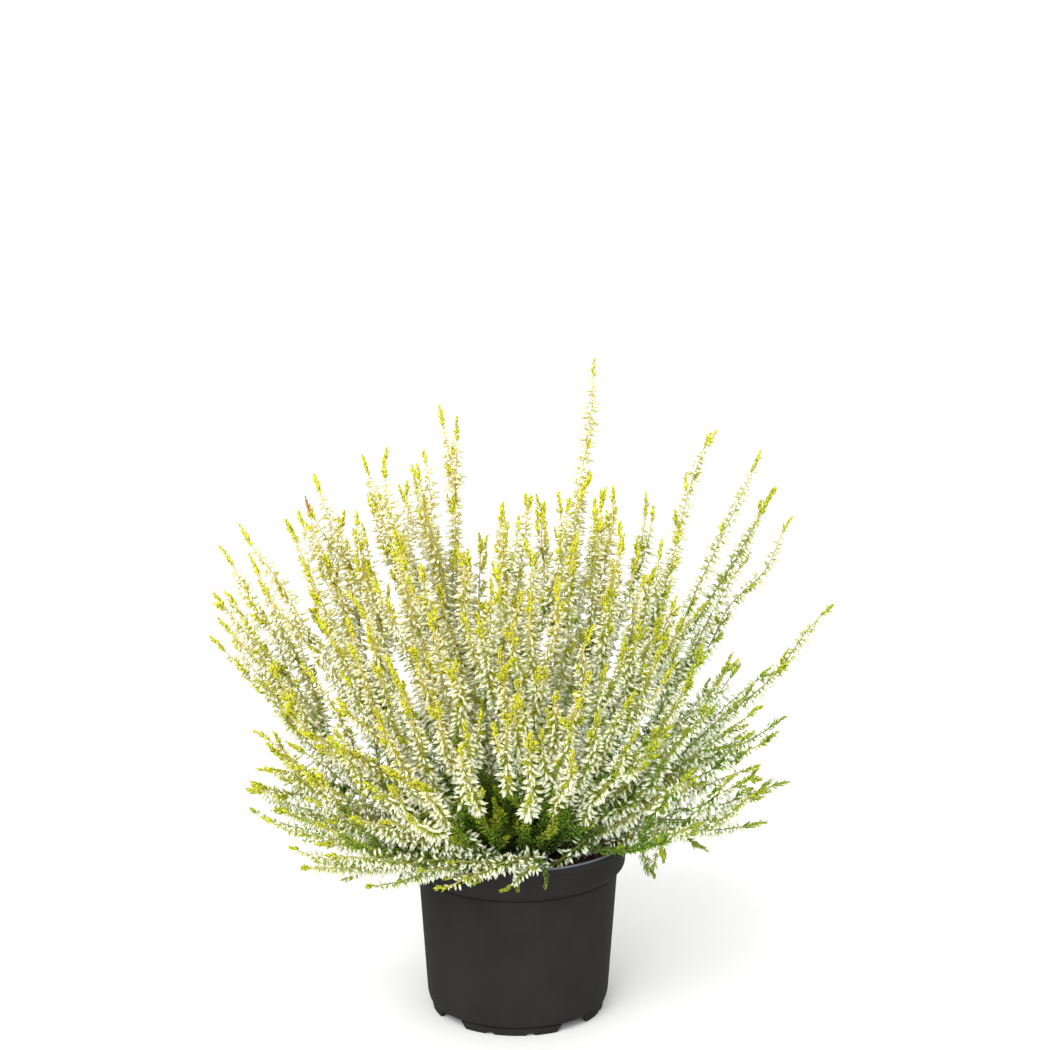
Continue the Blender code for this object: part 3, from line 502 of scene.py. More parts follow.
def dressShoot(shoot, rng, mother=None):
    # the stem's radius, and the size of its florets and leaves, at every point of its fine line
    kind = shoot["kind"]
    line = smoothLine(shoot["line"][::2])
    if kind == "drooping":
        line = line[:int(len(line) * growth["droopsKept"][shoot["tip"]])]
    if kind in ("flowering", "drooping", "low"):
        line = waved(line, rng)
    if mother is not None:
        line = joinedTo(mother, line)
    line = withinBox(line)
    rooted = shoot["mother"] is None
    if rooted:
        depths = np.linspace(*growth["rootDepths"], 4)[:, None] * soil["holeDepth"]
        line = np.vstack((line[0] - np.array((0, 0, 1)) * depths, line))
    along = arcLengths(line)
    left = along[-1] - along
    share = along / along[-1]
    thin = growth["shootRadius"]
    radius = np.interp(share, (0, growth["woodShare"], 1), (
        growth["woodRadius"] if rooted else thin, thin * growth["middleRadius"], growth["topRadius"]))
    radius *= growth["thinness"].get(kind, 1)
    cone = growth["tipCone"] * rng.uniform(*growth["coneSize"]) * growth["coneShare"].get(kind, 1)
    if kind == "tip":
        cone = along[-1]
    bloom = bloomAlong(shoot, line, along, cone, rng)
    leaf = np.where(left < cone, growth["coneLeaf"], growth["leafyLeaf"])
    leaf = leaf * np.interp(left, (0, cone / 2), (growth["endLeaf"], 1))
    splay = np.where(left < cone, growth["coneLeafSplay"], growth["leafySplay"])
    splay = splay * np.interp(left, (0, cone / 2), (growth["endSplay"], 1))
    leaf[(bloom > 0) | (along < (growth["woodLength"] + soil["holeDepth"] if rooted else 1 * mm))] = 0
    gold = goldAlong(line, share, kind, rng)
    gold = np.where(bloom > 0, gold, gold - gilding["bareLoss"])
    nearTip = np.clip(gilding["tipReach"] - left / cone, 0, 1)
    gold = gold + gilding["leafyTip" if kind == "leafy" else "tip"] * nearTip
    # painted shade over the pot: growth low over the soil gets less gold and a darker colour
    rise = gilding["shadeRise"]
    flat = np.linalg.norm(line[:, :2], axis=1)
    shade = np.clip((pot["height"] + rise - line[:, 2]) / rise, 0, 1)
    shade *= np.clip((pot["lipRadius"] + rise - flat) / rise, 0, 1)
    gold = np.clip(gold - gilding["shadeLoss"] * shade, 0, 1)
    old = shade * (gilding["lowShade"] if kind == "low" else 1)
    dry = np.clip((growth["dryLength"] - left) / growth["dryFade"], 0, 1)
    dry *= shoot.get("tip") == growth["dryTip"]
    leaf *= 1 - growth["dryShrink"] * dry
    way, side = frameAlong(line)
    return {"line": line, "way": way, "side": side, "share": share, "radius": radius, "bloom": bloom,
            "leaf": leaf, "splay": splay, "gold": gold, "dry": dry, "old": old,
            "branch": shoot["branch"], "lean": shoot["lean"], "kind": kind}


# Low shoots that lie over the rim in front and hang at the sides: each runs through four places, in mm
lowShoots = (
    ("low", (6, -43, 92), (-20, -66, 102), (-62, -76, 104), (-112, -70, 112)),
    ("low", (0, -40, 92), (-28, -62, 106), (-74, -66, 110), (-126, -52, 122)),
    ("low", (-8, -40, 92), (-40, -58, 103), (-78, -54, 97), (-108, -44, 92)),
    ("low", (-14, -38, 92), (-44, -50, 104), (-70, -48, 92), (-88, -44, 84)),
    ("low", (2, -44, 92), (2, -64, 102), (-18, -74, 100), (-40, -80, 96)),
    ("low", (-10, -44, 92), (-14, -62, 102), (-36, -72, 101), (-58, -76, 96)),
    ("low", (12, -44, 92), (10, -62, 103), (2, -70, 98), (-8, -74, 91)),
    ("low", (8, -44, 92), (8, -61, 104), (-8, -71, 103), (-26, -78, 99)),
    ("leafy", (6, -46, 92), (11, -60, 101), (14, -67, 97), (14, -69, 91)),
    ("leafy", (-28, -44, 92), (-38, -58, 101), (-45, -64, 97), (-49, -66, 92)),
    ("low", (12, -24, 92), (36, -40, 118), (62, -46, 126), (94, -42, 136)),
    ("low", (22, -18, 92), (50, -32, 114), (84, -38, 114), (112, -34, 120)),
    ("low", (30, -20, 92), (56, -31, 120), (69, -36, 109), (69, -38, 88)),
    ("low", (32, -18, 92), (58, -27, 118), (73, -33, 108), (75, -35, 92)),
    ("low", (28, -22, 92), (52, -33, 116), (64, -39, 108), (66, -42, 94)),
    ("low", (26, -24, 92), (50, -36, 112), (62, -42, 110), (67, -45, 89)),
    ("low", (30, -26, 92), (54, -34, 124), (66, -40, 116), (72, -42, 96)),
    ("low", (16, -46, 92), (40, -47, 112), (62, -46, 127), (86, -40, 142)),
    ("low", (2, -46, 92), (-22, -60, 108), (-56, -68, 118), (-100, -64, 134)),
    ("low", (4, -47, 92), (-16, -63, 105), (-50, -74, 109), (-90, -72, 118)),
    ("low", (34, -12, 92), (60, -20, 108), (80, -23, 105), (92, -26, 96)),
    ("low", (-20, -30, 92), (-52, -40, 116), (-90, -44, 126), (-126, -40, 142)),
    ("low", (-24, -24, 92), (-60, -34, 110), (-100, -38, 118), (-134, -30, 130)),
    ("low", (-22, -34, 92), (-50, -50, 112), (-84, -58, 118), (-116, -56, 128)),
    ("low", (-30, -22, 92), (-62, -30, 104), (-100, -24, 104), (-136, -16, 112)),
    ("low", (30, 20, 92), (58, 36, 106), (84, 54, 106), (104, 70, 112)),
    ("low", (-16, 36, 92), (-34, 62, 106), (-56, 84, 108), (-80, 102, 116)),
)
tufts = {"count": 330, "samples": 9, "spread": 48 * mm, "rimRoom": 7 * mm, "shortest": 12, "longest": 33,
         "fullLength": 1.3, "outerLoss": 0.42, "middleLean": 0.25, "outerLean": 0.75, "leanSpread": 0.15,
         "waySpread": 0.3, "curlSpread": 0.45, "curlUp": 0.25,
         # an open place in front, between two directions in degrees
         "openFrom": -80, "openTo": -15, "openShare": 0.6}
lowRun = {"before": 0.3, "after": 0.5, "lift": 12 * mm, "samples": 11, "bare": 12 * mm}
# Short side shoots: where along its mother each one starts, and how it bends away from it
offshoots = {
    "tip": {"from": (0.32, 0.98), "length": (6 * mm, 11 * mm), "samples": 7, "bare": 0,
            "out": 0.62, "back": 0.22, "lift": 0, "mostOfRest": 99},
    "sprig": {"from": (0.3, 0.62), "length": (38 * mm, 78 * mm), "samples": 9, "bare": 9 * mm,
              "out": 0.42, "back": 0.2, "lift": 0.06, "mostOfRest": 0.8},
}
offshoots["low"] = {**offshoots["sprig"], "from": (0.2, 0.55)}


def lowLines():
    # smooth runs through the four places, sampled like the other shoots
    rule = lowRun
    lines = []
    for kind, *places in lowShoots:
        a, b, c, d = (np.array(p) * mm for p in places)
        start = a - (b - a) * rule["before"]
        end = d + (d - c) * rule["after"] + np.array((0, 0, rule["lift"]))
        ends = (start, a, b, c, d, end)
        runs = [curveBetween(*ends[k:k + 4], steps(rule["samples"])) for k in range(3)]
        line = np.vstack((runs[0], runs[1][1:], runs[2][1:]))
        lines.append(shootOf(kind, line, bare=rule["bare"], lean=1))
    return lines


def fillLines():
    tips = onDome(fillTips) + [Vector(tip) * mm for tip in crownTips]
    stems = [stemLine(tip, "flowering") for tip in tips]
    return [shootOf("flowering", line, bare=bush["spreadingBareLength"], lean=lean) for line, lean in stems]


def tuftLines(rng):
    # short leafy shoots that fill the foot of the bush, none of them over the rim
    lines = []
    for k in range(tufts["count"]):
        turn = k * bush["goldenAngle"]
        out = tufts["spread"] * math.sqrt((k + 0.5) / tufts["count"])
        base = np.array((out * math.cos(turn), out * math.sin(turn), pot["height"] - soil["drop"]))
        out /= tufts["spread"]
        lean = tufts["middleLean"] + tufts["outerLean"] * out + rng.normal(0, tufts["leanSpread"])
        way = np.array((math.cos(turn) * lean, math.sin(turn) * lean, 1.0))
        way = unit(way + rng.normal(0, tufts["waySpread"], 3))
        facing = math.degrees(math.atan2(base[1], base[0]))
        if out > tufts["openShare"] and tufts["openFrom"] < facing < tufts["openTo"]:
            continue
        length = rng.uniform(tufts["shortest"], tufts["longest"]) * mm
        length *= tufts["fullLength"] - tufts["outerLoss"] * out
        curl = rng.normal(0, tufts["curlSpread"], 3) + np.array((0, 0, tufts["curlUp"]))
        t = steps(tufts["samples"])
        points = base + length * (way * t + curl * t * t)
        nearRim = np.linalg.norm(points[:, :2], axis=1) > pot["lipRadius"] - tufts["rimRoom"]
        if not (nearRim & (points[:, 2] < pot["height"] + tufts["rimRoom"])).any():
            lines.append(shootOf("leafy", points, mother=0))
    return lines


def offshootOf(shoot, kind, rng):
    rule = offshoots[kind]
    line = shoot["line"]
    at = min(int(len(line) * rng.uniform(*rule["from"])), len(line) - 4)
    way = unit(line[at + 1] - line[at - 1])
    aside = unit(np.cross(way, rng.normal(size=3)))
    rest = np.linalg.norm(line[-1] - line[at])
    length = min(rng.uniform(*rule["length"]), rule["mostOfRest"] * rest)
    t = steps(rule["samples"])
    bend = aside * (rule["out"] * t - rule["back"] * t * t) + np.array((0, 0, rule["lift"])) * t * t
    points = line[at] + length * (way * t + bend)
    return shootOf(kind, points, shoot["branch"], 0, rule["bare"], shoot["lean"])


# Node tools, for geometry and for materials. A node is built by what feeds it, and gives its outputs.
def isSocket(value):
    return isinstance(value, bpy.types.NodeSocket)


def wire(value, socket):
    if isSocket(value):
        socket.id_data.links.new(value, socket)
    else:
        socket.default_value = value


def addNode(tree, kind, inputs=None, **settings):
    made = tree.nodes.new(kind)
    for name, value in settings.items():
        setattr(made, name, value)
    for key, value in (inputs or {}).items():
        wire(value, made.inputs[key])
    return made.outputs


def maths(operation, *values, kind="ShaderNodeMath", **more):
    tree = next(value for value in values if isSocket(value)).id_data
    return addNode(tree, kind, {**dict(enumerate(values)), **more}, operation=operation)[0]


def vectors(operation, *values, **more):
    return maths(operation, *values, kind="ShaderNodeVectorMath", **more)


def plus(first, *others):
    for other in others:
        first = maths("ADD", first, other)
    return first


def times(first, second):
    return maths("MULTIPLY", first, second)


def minus(first, second):
    return maths("SUBTRACT", first, second)


def swing(first, second, angle):
    # the first direction, turned towards the second
    return vectors("ADD", vectors("SCALE", first, Scale=maths("COSINE", angle)),
                   vectors("SCALE", second, Scale=maths("SINE", angle)))


def heightOf(vector):
    return addNode(vector.id_data, "ShaderNodeSeparateXYZ", {"Vector": vector})["Z"]


def named(tree, name, kind="FLOAT"):
    return addNode(tree, "GeometryNodeInputNamedAttribute", {"Name": name}, data_type=kind)["Attribute"]


def between(low, high, seed):
    # a random number; 2 and 3 are the node's float limits, and 1 is its float output
    inputs = {2: low, 3: high, "Seed": seed}
    return addNode(seed.id_data, "FunctionNodeRandomValue", inputs, data_type="FLOAT")[1]


def repeatAt(points, shape, **inputs):
    # the shape at each point, as real faces
    tree = points.id_data
    source = addNode(tree, "GeometryNodeObjectInfo", {"Object": shape})["Geometry"]
    inputs = {"Points": points, "Instance": source, **inputs}
    made = addNode(tree, "GeometryNodeInstanceOnPoints", inputs)[0]
    return addNode(tree, "GeometryNodeRealizeInstances", {"Geometry": made})[0]


def coated(geometry, finish):
    inputs = {"Geometry": geometry, "Material": finish}
    return addNode(geometry.id_data, "GeometryNodeSetMaterial", inputs)[0]


def joined(parts):
    made = parts[0].id_data.nodes.new("GeometryNodeJoinGeometry")
    for part in reversed(parts):
        wire(part, made.inputs[0])
    return made.outputs[0]


def newTree(name, inputs, outputs, treeKind="GeometryNodeTree"):
    # a socket is given by its default number, or by its kind
    tree = bpy.data.node_groups.new(name, treeKind)
    for direction, sockets in (("INPUT", inputs), ("OUTPUT", outputs)):
        for socketName, value in sockets.items():
            kind = {float: "Float", int: "Int"}.get(type(value), value)
            made = tree.interface.new_socket(socketName, in_out=direction, socket_type=f"NodeSocket{kind}")
            if kind != value:
                made.default_value = value
    return tree, tree.nodes.new("NodeGroupInput").outputs, tree.nodes.new("NodeGroupOutput").inputs


placing = {"upperSide": 0.3, "smallest": 0.05 * mm, "bractSize": (0.88, 0.17), "leafOffset": 0.7}


def placesTree():
    # places along stems, in four rows that turn by a quarter each pair, with a tilt and a droop
    tree, given, result = newTree(
        "placesOnStems",
        {"Stems": "Geometry", "Spacing": 0.001, "Size": 1.0, "Tilt": 0.0, "Tilt Spread": 0.2,
         "Droop": 0.0, "Top Thinning": 0.0, "Turn Spread": 0.2, "Size Spread": 0.1, "Offset": 0.0,
         "Seed": 0},
        {"Points": "Geometry", "Shown": "Bool", "Rotation": "Rotation", "Scale": "Float"})
    seed, spread = given["Seed"], given["Size Spread"]
    stems = addNode(tree, "GeometryNodeResampleCurve",
                    {"Curve": given["Stems"], "Length": given["Spacing"]}, mode="LENGTH")[0]
    points = addNode(tree, "GeometryNodeCurveToPoints", {"Curve": stems}, mode="EVALUATED")["Points"]
    index = addNode(tree, "GeometryNodeInputIndex")[0]
    pair = maths("FLOOR", maths("DIVIDE", index, 2.0))
    turn = plus(times(index, math.pi), times(pair, quarterTurn),
                times(given["Turn Spread"], between(-1.0, 1.0, seed)))
    way, side = (vectors("NORMALIZE", named(tree, name, "FLOAT_VECTOR")) for name in ("way", "side"))
    outward = swing(side, vectors("CROSS_PRODUCT", way, side), turn)
    tilt = plus(given["Tilt"], times(given["Tilt Spread"], between(-1.0, 1.0, plus(seed, 11.0))))
    down = addNode(tree, "ShaderNodeCombineXYZ", {"Z": times(given["Droop"], -1.0)})[0]
    aim = vectors("NORMALIZE", vectors("ADD", swing(outward, way, tilt), down))
    # fewer on the upper side
    chance = times(given["Top Thinning"], minus(heightOf(outward), placing["upperSide"]))
    kept = maths("GREATER_THAN", between(0.0, 1.0, plus(seed, 23.0)), chance)
    size = between(minus(1.0, spread), plus(1.0, spread), plus(seed, 37.0))
    outputs = {
        "Points": addNode(tree, "GeometryNodeSetPosition", {
            "Geometry": points, "Offset": vectors("SCALE", outward, Scale=given["Offset"])})[0],
        "Shown": times(kept, maths("GREATER_THAN", given["Size"], placing["smallest"])),
        "Rotation": addNode(tree, "FunctionNodeAxesToRotation", {
            "Primary Axis": aim, "Secondary Axis": outward}, primary_axis="Z", secondary_axis="Y")[0],
        "Scale": times(given["Size"], size),
    }
    for key, value in outputs.items():
        wire(value, result[key])
    return tree


def sprayTree(onStems):
    # stems, then florets as buds in bracts, then leaves
    tree, given, result = newTree(
        "heatherSpray",
        {"Geometry": "Geometry", "Stem Sides": 5, "Stem Step": 3.5 * mm, "Floret Spacing": 0.73 * mm,
         "Floret Rise": 0.5, "Floret Fall": -0.25, "Floret Droop": 0.4, "Leaf Spacing": 0.5 * mm,
         "Seed": 1, "Bud": "Object", "Bract": "Object", "Leaf": "Object",
         **{f"{part} Material": "Material" for part in ("Bud", "Bract", "Leaf", "Stem")}},
        {"Geometry": "Geometry"})
    seed, share, radius = given["Seed"], named(tree, "share"), named(tree, "radius")
    curve = addNode(tree, "GeometryNodeMeshToCurve", {"Mesh": given["Geometry"]})[0]
    coarse = addNode(tree, "GeometryNodeResampleCurve",
                     {"Curve": curve, "Length": given["Stem Step"]}, mode="LENGTH")[0]
    sized = addNode(tree, "GeometryNodeSetCurveRadius", {"Curve": coarse, "Radius": radius})[0]
    ring = addNode(tree, "GeometryNodeCurvePrimitiveCircle",
                   {"Resolution": given["Stem Sides"], "Radius": 1.0}, mode="RADIUS")[0]
    tube = addNode(tree, "GeometryNodeCurveToMesh",
                   {"Curve": sized, "Profile Curve": ring, "Scale": radius, "Fill Caps": True})[0]
    parts = [coated(tube, given["Stem Material"])]

    def repeat(settings, shapes):
        group = addNode(tree, "GeometryNodeGroup", {"Stems": curve, **settings}, node_tree=onStems)
        tone = addNode(tree, "GeometryNodeStoreNamedAttribute",
                       {"Geometry": group["Points"], "Name": "tone", "Value": between(0.0, 1.0, seed)},
                       data_type="FLOAT", domain="POINT")[0]
        for shape, size in shapes.items():
            real = repeatAt(tone, given[shape], Selection=group["Shown"], Rotation=group["Rotation"],
                            Scale=times(group["Scale"], size))
            parts.append(coated(real, given[f"{shape} Material"]))

    fall = given["Floret Fall"]
    low, more = placing["bractSize"]
    repeat({"Spacing": given["Floret Spacing"], "Size": named(tree, "bloom"),
            "Tilt": plus(fall, times(share, minus(given["Floret Rise"], fall))), "Tilt Spread": 0.4,
            "Droop": given["Floret Droop"], "Top Thinning": 0.5, "Turn Spread": 0.6,
            "Size Spread": 0.18, "Seed": seed},
           {"Bud": 1.0, "Bract": plus(low, times(more, share))})
    repeat({"Spacing": given["Leaf Spacing"], "Size": named(tree, "leaf"),
            "Tilt": minus(quarterTurn, named(tree, "splay")), "Tilt Spread": 0.3, "Turn Spread": 0.7,
            "Size Spread": 0.3, "Offset": times(placing["leafOffset"], radius), "Seed": plus(seed, 101.0)},
           {"Leaf": 1.0})
    wire(joined(parts), result["Geometry"])
    return tree


# Meshes
def placed(name, data):
    obj = bpy.data.objects.new(name, data)
    bpy.context.scene.collection.objects.link(obj)
    return obj


def meshObject(name, bm):
    bmesh.ops.recalc_face_normals(bm, faces=bm.faces)
    mesh = bpy.data.meshes.new(name)
    bm.to_mesh(mesh)
    bm.free()
    return placed(name, mesh)


def polar(radius, angle, height):
    return radius * math.cos(angle), radius * math.sin(angle), height


def ringFaces(rings, sides):
    # a fan, bands of quads and a fan, over rings of points between two poles
    last = 1 + rings * sides
    sideBySide = [(k, (k + 1) % sides) for k in range(sides)]
    faces = [(0, 1 + k, 1 + n) for k, n in sideBySide]
    for low in range(1, last - sides, sides):
        faces += [(low + k, low + k + sides, low + n + sides, low + n) for k, n in sideBySide]
    return faces + [(last - sides + k, last, last - sides + n) for k, n in sideBySide]


def keepResult(obj, modifier):
    # what the modifier makes, as the object's own plain mesh
    graph = bpy.context.evaluated_depsgraph_get()
    made = bpy.data.meshes.new_from_object(obj.evaluated_get(graph))
    obj.modifiers.remove(modifier)
    made.name = obj.name
    obj.data = made
    return made


def grow(obj, tree, **settings):
    modifier = obj.modifiers.new(tree.name, "NODES")
    modifier.node_group = tree
    names = {item.name: item.identifier for item in tree.interface.items_tree if item.in_out == "INPUT"}
    for key, value in settings.items():
        modifier[names[key]] = value
    made = keepResult(obj, modifier)
    for attribute in ("way", "side", "bloom", "leaf", "splay", "radius"):
        if attribute in made.attributes:
            made.attributes.remove(made.attributes[attribute])
    return obj


# Small shapes that are repeated: a bud in two bracts, and a leaf one unit long
floretShape = {
    # a ring of the bud: how far up its length, and the share of its width
    "budRings": ((0.24, 0.42), (0.58, 0.5)), "budSides": 3, "bractMiddle": 0.55, "bractFlare": 1.3,
    "budFoot": 1.2 * mm, "budTip": 5.9 * mm, "budWidth": 1.8 * mm,
    "bractFoot": 0.1 * mm, "bractTip": 3.4 * mm, "bractWidth": 1.1 * mm, "bractOut": 0.72 * mm,
}


def shapeFrom(name, verts, faces, foot=0, length=1):
    mesh = bpy.data.meshes.new(name)
    mesh.from_pydata(verts, [], faces)
    bm = bmesh.new()
    bm.from_mesh(mesh)
    bpy.data.meshes.remove(mesh)
    obj = meshObject(name, bm)
    along = [(v[2] - foot) / length for v in verts]
    obj.data.attributes.new("along", "FLOAT", "POINT").data.foreach_set("value", along)
    obj.data.shade_smooth()
    return obj


def budShape():
    foot, tip, width = (floretShape["bud" + key] for key in ("Foot", "Tip", "Width"))
    length = tip - foot
    rings, sides = floretShape["budRings"], floretShape["budSides"]
    verts = [(0, 0, foot)]
    for share, wide in rings:
        verts += [polar(wide * width, 2 * math.pi * k / sides, foot + share * length) for k in range(sides)]
    return shapeFrom("budShape", verts + [(0, 0, tip)], ringFaces(len(rings), sides), foot, length)


def bractShape():
    # two pointed bracts that clasp the bud's foot and reach the stem
    foot, tip, width, out = (floretShape["bract" + key] for key in ("Foot", "Tip", "Width", "Out"))
    middle = foot + floretShape["bractMiddle"] * (tip - foot)
    corners = np.array(((0, 1, 2), (0, 1, 3), (1, 2, 3), (2, 0, 3)))
    verts = []
    faces = []
    for side in (-1, 1):
        faces += (corners + len(verts)).tolist()
        verts += [(0, 0, foot), (width / 2, side * out, middle), (-width / 2, side * out, middle),
                  (0, side * floretShape["bractFlare"] * out, tip)]
    return shapeFrom("bractShape", verts, faces, 0, tip)


def leafShape():
    # keeled on its outer side and bent in at the tip
    verts = [(0, 0, 0), (0.27, 0, 0.42), (-0.27, 0, 0.42), (0, 0.2, 0.38), (0, 0, 1)]
    faces = [(0, 1, 2), (0, 3, 1), (0, 2, 3), (4, 2, 1), (4, 1, 3), (4, 3, 2)]
    return shapeFrom("leafShape", verts, faces)


# Materials
def newMaterial(name, roughness):
    made = bpy.data.materials.new(name)
    made.use_nodes = True
    shader = made.node_tree.nodes["Principled BSDF"].inputs
    shader["Roughness"].default_value = roughness
    return made, made.node_tree, shader


def blendColours(share, first, second, blend="MIX"):
    # 0, 6 and 7 are the node's share and its two colours
    inputs = {0: share, 6: first, 7: second}
    return addNode(first.id_data, "ShaderNodeMix", inputs, data_type="RGBA", blend_type=blend)[2]


def stretch(value, low, high, toLow=0.0, toHigh=1.0):
    return addNode(value.id_data, "ShaderNodeMapRange", {
        "Value": value, "From Min": low, "From Max": high, "To Min": toLow, "To Max": toHigh})[0]


def growthGroup():
    # plant colour: green to yellow by gold, darker at the foot by along, a little different by tone, and
    # darker by the painted shade input
    tree, given, result = newTree(
        "plantColour",
        {"Green": "Color", "Yellow": "Color", "Foot": "Color", "Foot Length": 0.4, "Dry Colour": "Color",
         "Dry": 0.0, "Tone Spread": 0.2, "Gold": 0.5, "Old": 0.0, "Old Darkness": 0.5, "Along": 0.5,
         "Tone": 0.5},
        {"Colour": "Color"}, "ShaderNodeTree")
    body = blendColours(given["Gold"], given["Green"], given["Yellow"])
    up = maths("DIVIDE", given["Along"], given["Foot Length"])
    up = addNode(tree, "ShaderNodeClamp", {"Value": up})[0]
    grown = blendColours(up, blendColours(1.0, body, given["Foot"], "MULTIPLY"), body)
    grown = blendColours(given["Dry"], grown, given["Dry Colour"])
    light = plus(1.0, times(given["Tone Spread"], minus(given["Tone"], 0.5)))
    # painted shade: the colour darkens by the painted shade value times its darkness
    light = times(light, minus(1.0, times(given["Old"], given["Old Darkness"])))
    lit = addNode(tree, "ShaderNodeHueSaturation", {"Color": grown, "Value": light})[0]
    wire(lit, result["Colour"])
    return tree


plantRoughness = {"Bud": 0.5, "Bract": 0.55, "Leaf": 0.5, "Stem": 0.65}
dryColour = (0.46, 0.17, 0.06, 1)
plantColours = {
    "Bud": {"Green": (0.90, 0.94, 0.75, 1), "Yellow": (0.89, 0.85, 0.58, 1), "Foot": (0.78, 0.90, 0.30, 1),
            "Foot Length": 0.45, "Tone Spread": 0.1, "Old Darkness": 0.2},
    "Bract": {"Green": (0.29, 0.48, 0.007, 1), "Yellow": (0.95, 0.86, 0.120, 1), "Foot": (0.9, 0.9, 0.9, 1),
              "Foot Length": 0.3, "Tone Spread": 0.3, "Old Darkness": 0.7},
    "Leaf": {"Green": (0.155, 0.315, 0.005, 1), "Yellow": (0.70, 0.69, 0.013, 1), "Foot": (0.6, 0.7, 0.5, 1),
             "Foot Length": 0.5, "Tone Spread": 0.3, "Old Darkness": 0.82},
    "Stem": {"Green": (0.26, 0.30, 0.05, 1), "Yellow": (0.96, 0.76, 0.30, 1), "Foot": (0.25, 0.18, 0.16, 1),
             "Foot Length": 0.25, "Tone Spread": 0.3, "Old Darkness": 0.6},
}


def plantMaterials():
    group = growthGroup()
    finishes = {}
    for part, colours in plantColours.items():
        made, tree, shader = newMaterial("heather" + part, plantRoughness[part])
        fields = {"Gold": "gold", "Tone": "tone", "Old": "old", "Dry": "dry",
                  "Along": "share" if part == "Stem" else "along"}
        for socket, name in fields.items():
            fields[socket] = addNode(tree, "ShaderNodeAttribute", attribute_name=name)["Fac"]
        inputs = {**colours, **fields, "Dry Colour": dryColour}
        wire(addNode(tree, "ShaderNodeGroup", inputs, node_tree=group)[0], shader["Base Color"])
        finishes[f"{part} Material"] = made
    return finishes


def meshOfLines(name, shoots):
    mesh = bpy.data.meshes.new(name)
    starts = np.cumsum([0] + [len(s["line"]) for s in shoots])
    edges = [(k, k + 1) for a, b in zip(starts, starts[1:]) for k in range(a, b - 1)]
    mesh.from_pydata(np.concatenate([s["line"] for s in shoots]), edges, [])
    for key in ("radius", "share", "bloom", "leaf", "splay", "gold", "dry", "old", "way", "side"):
        values = np.concatenate([s[key] for s in shoots]).astype(np.float32)
        kind, field = ("FLOAT", "value") if values.ndim == 1 else ("FLOAT_VECTOR", "vector")
        mesh.attributes.new(key, kind, "POINT").data.foreach_set(field, values.ravel())
    return placed(name, mesh)


def buildSprays():
    shoots = growShoots()
    spreadShoots(shoots)
    rng = np.random.default_rng(growth["seed"])

    def dressed(lines):
        return [dressShoot(line, rng) for line in lines]

    def tipped(members, count):
        return [dressShoot(offshootOf(s, "tip", rng), rng) for s in members for _ in range(count)]

    branches = []
    for shoot in shoots:
        mother = None if shoot["mother"] is None else branches[shoot["mother"]]
        branches.append(dressShoot(shoot, rng, mother))
    flowering = [s for s in branches if s["kind"] == "flowering"]
    branches += [dressShoot(offshootOf(s, "sprig", rng), rng) for s in flowering]
    branches += tipped(flowering, growth["sideTips"])
    fill = dressed(fillLines())
    fill += tipped(fill, growth["sideTips"])
    low = dressed(lowLines())
    flowering = [s for s in low if s["kind"] == "low"]
    sprigs = [offshootOf(s, "low", rng) for s in flowering for _ in range(growth["lowSprigs"])]
    low += dressed(s for s in sprigs if potRoom(s["line"]).min() > growth["sprigClear"])
    low += tipped(flowering, growth["lowSideTips"])
    tree = sprayTree(placesTree())
    shapes = {"Bud": budShape(), "Bract": bractShape(), "Leaf": leafShape()}
    inputs = {**shapes, **plantMaterials()}
    for number in range(1, bush["branches"] + 1):
        members = [s for s in branches if s["branch"] == number - 1]
        spray = grow(meshOfLines(f"spray_{number:02d}", members), tree, Seed=number, **inputs)
        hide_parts(f"branch_{number:02d}")
        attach(spray, "root")
    for name, members, sides, seed in (("tufts", dressed(tuftLines(rng)), 3, 500),
                                       ("rimShoots", low, 4, 600), ("fillShoots", fill, 4, 700)):
        extra = grow(meshOfLines(name, members), tree, Seed=seed, **{"Stem Sides": sides}, **inputs)
        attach(extra, "root")
        print(name + ":", len(extra.data.polygons), "faces")
    for shape in shapes.values():
        bpy.data.objects.remove(shape)
    total = sum(len(o.data.polygons) for o in bpy.data.objects if o.name.startswith("spray_"))
    print("sprays:", bush["branches"], "faces:", total)


# The pot, turned from one outline with rounded corners, then its foot ring and drain holes cut
def roundedOutline(corners, count=3):
    outline = []
    for k, (radius, height, rounding) in enumerate(corners):
        here = Vector((radius, height))
        if rounding == 0:
            outline.append(tuple(here))
            continue
        before = Vector(corners[k - 1][:2]) - here
        after = Vector(corners[k + 1][:2]) - here
        cut = min(rounding, pot["mostOfSide"] * before.length, pot["mostOfSide"] * after.length)
        start = here + before.normalized() * cut
        end = here + after.normalized() * cut
        for j in range(count + 1):
            t = j / count
            outline.append(tuple(start * (1 - t) ** 2 + here * 2 * t * (1 - t) + end * t * t))
    return outline


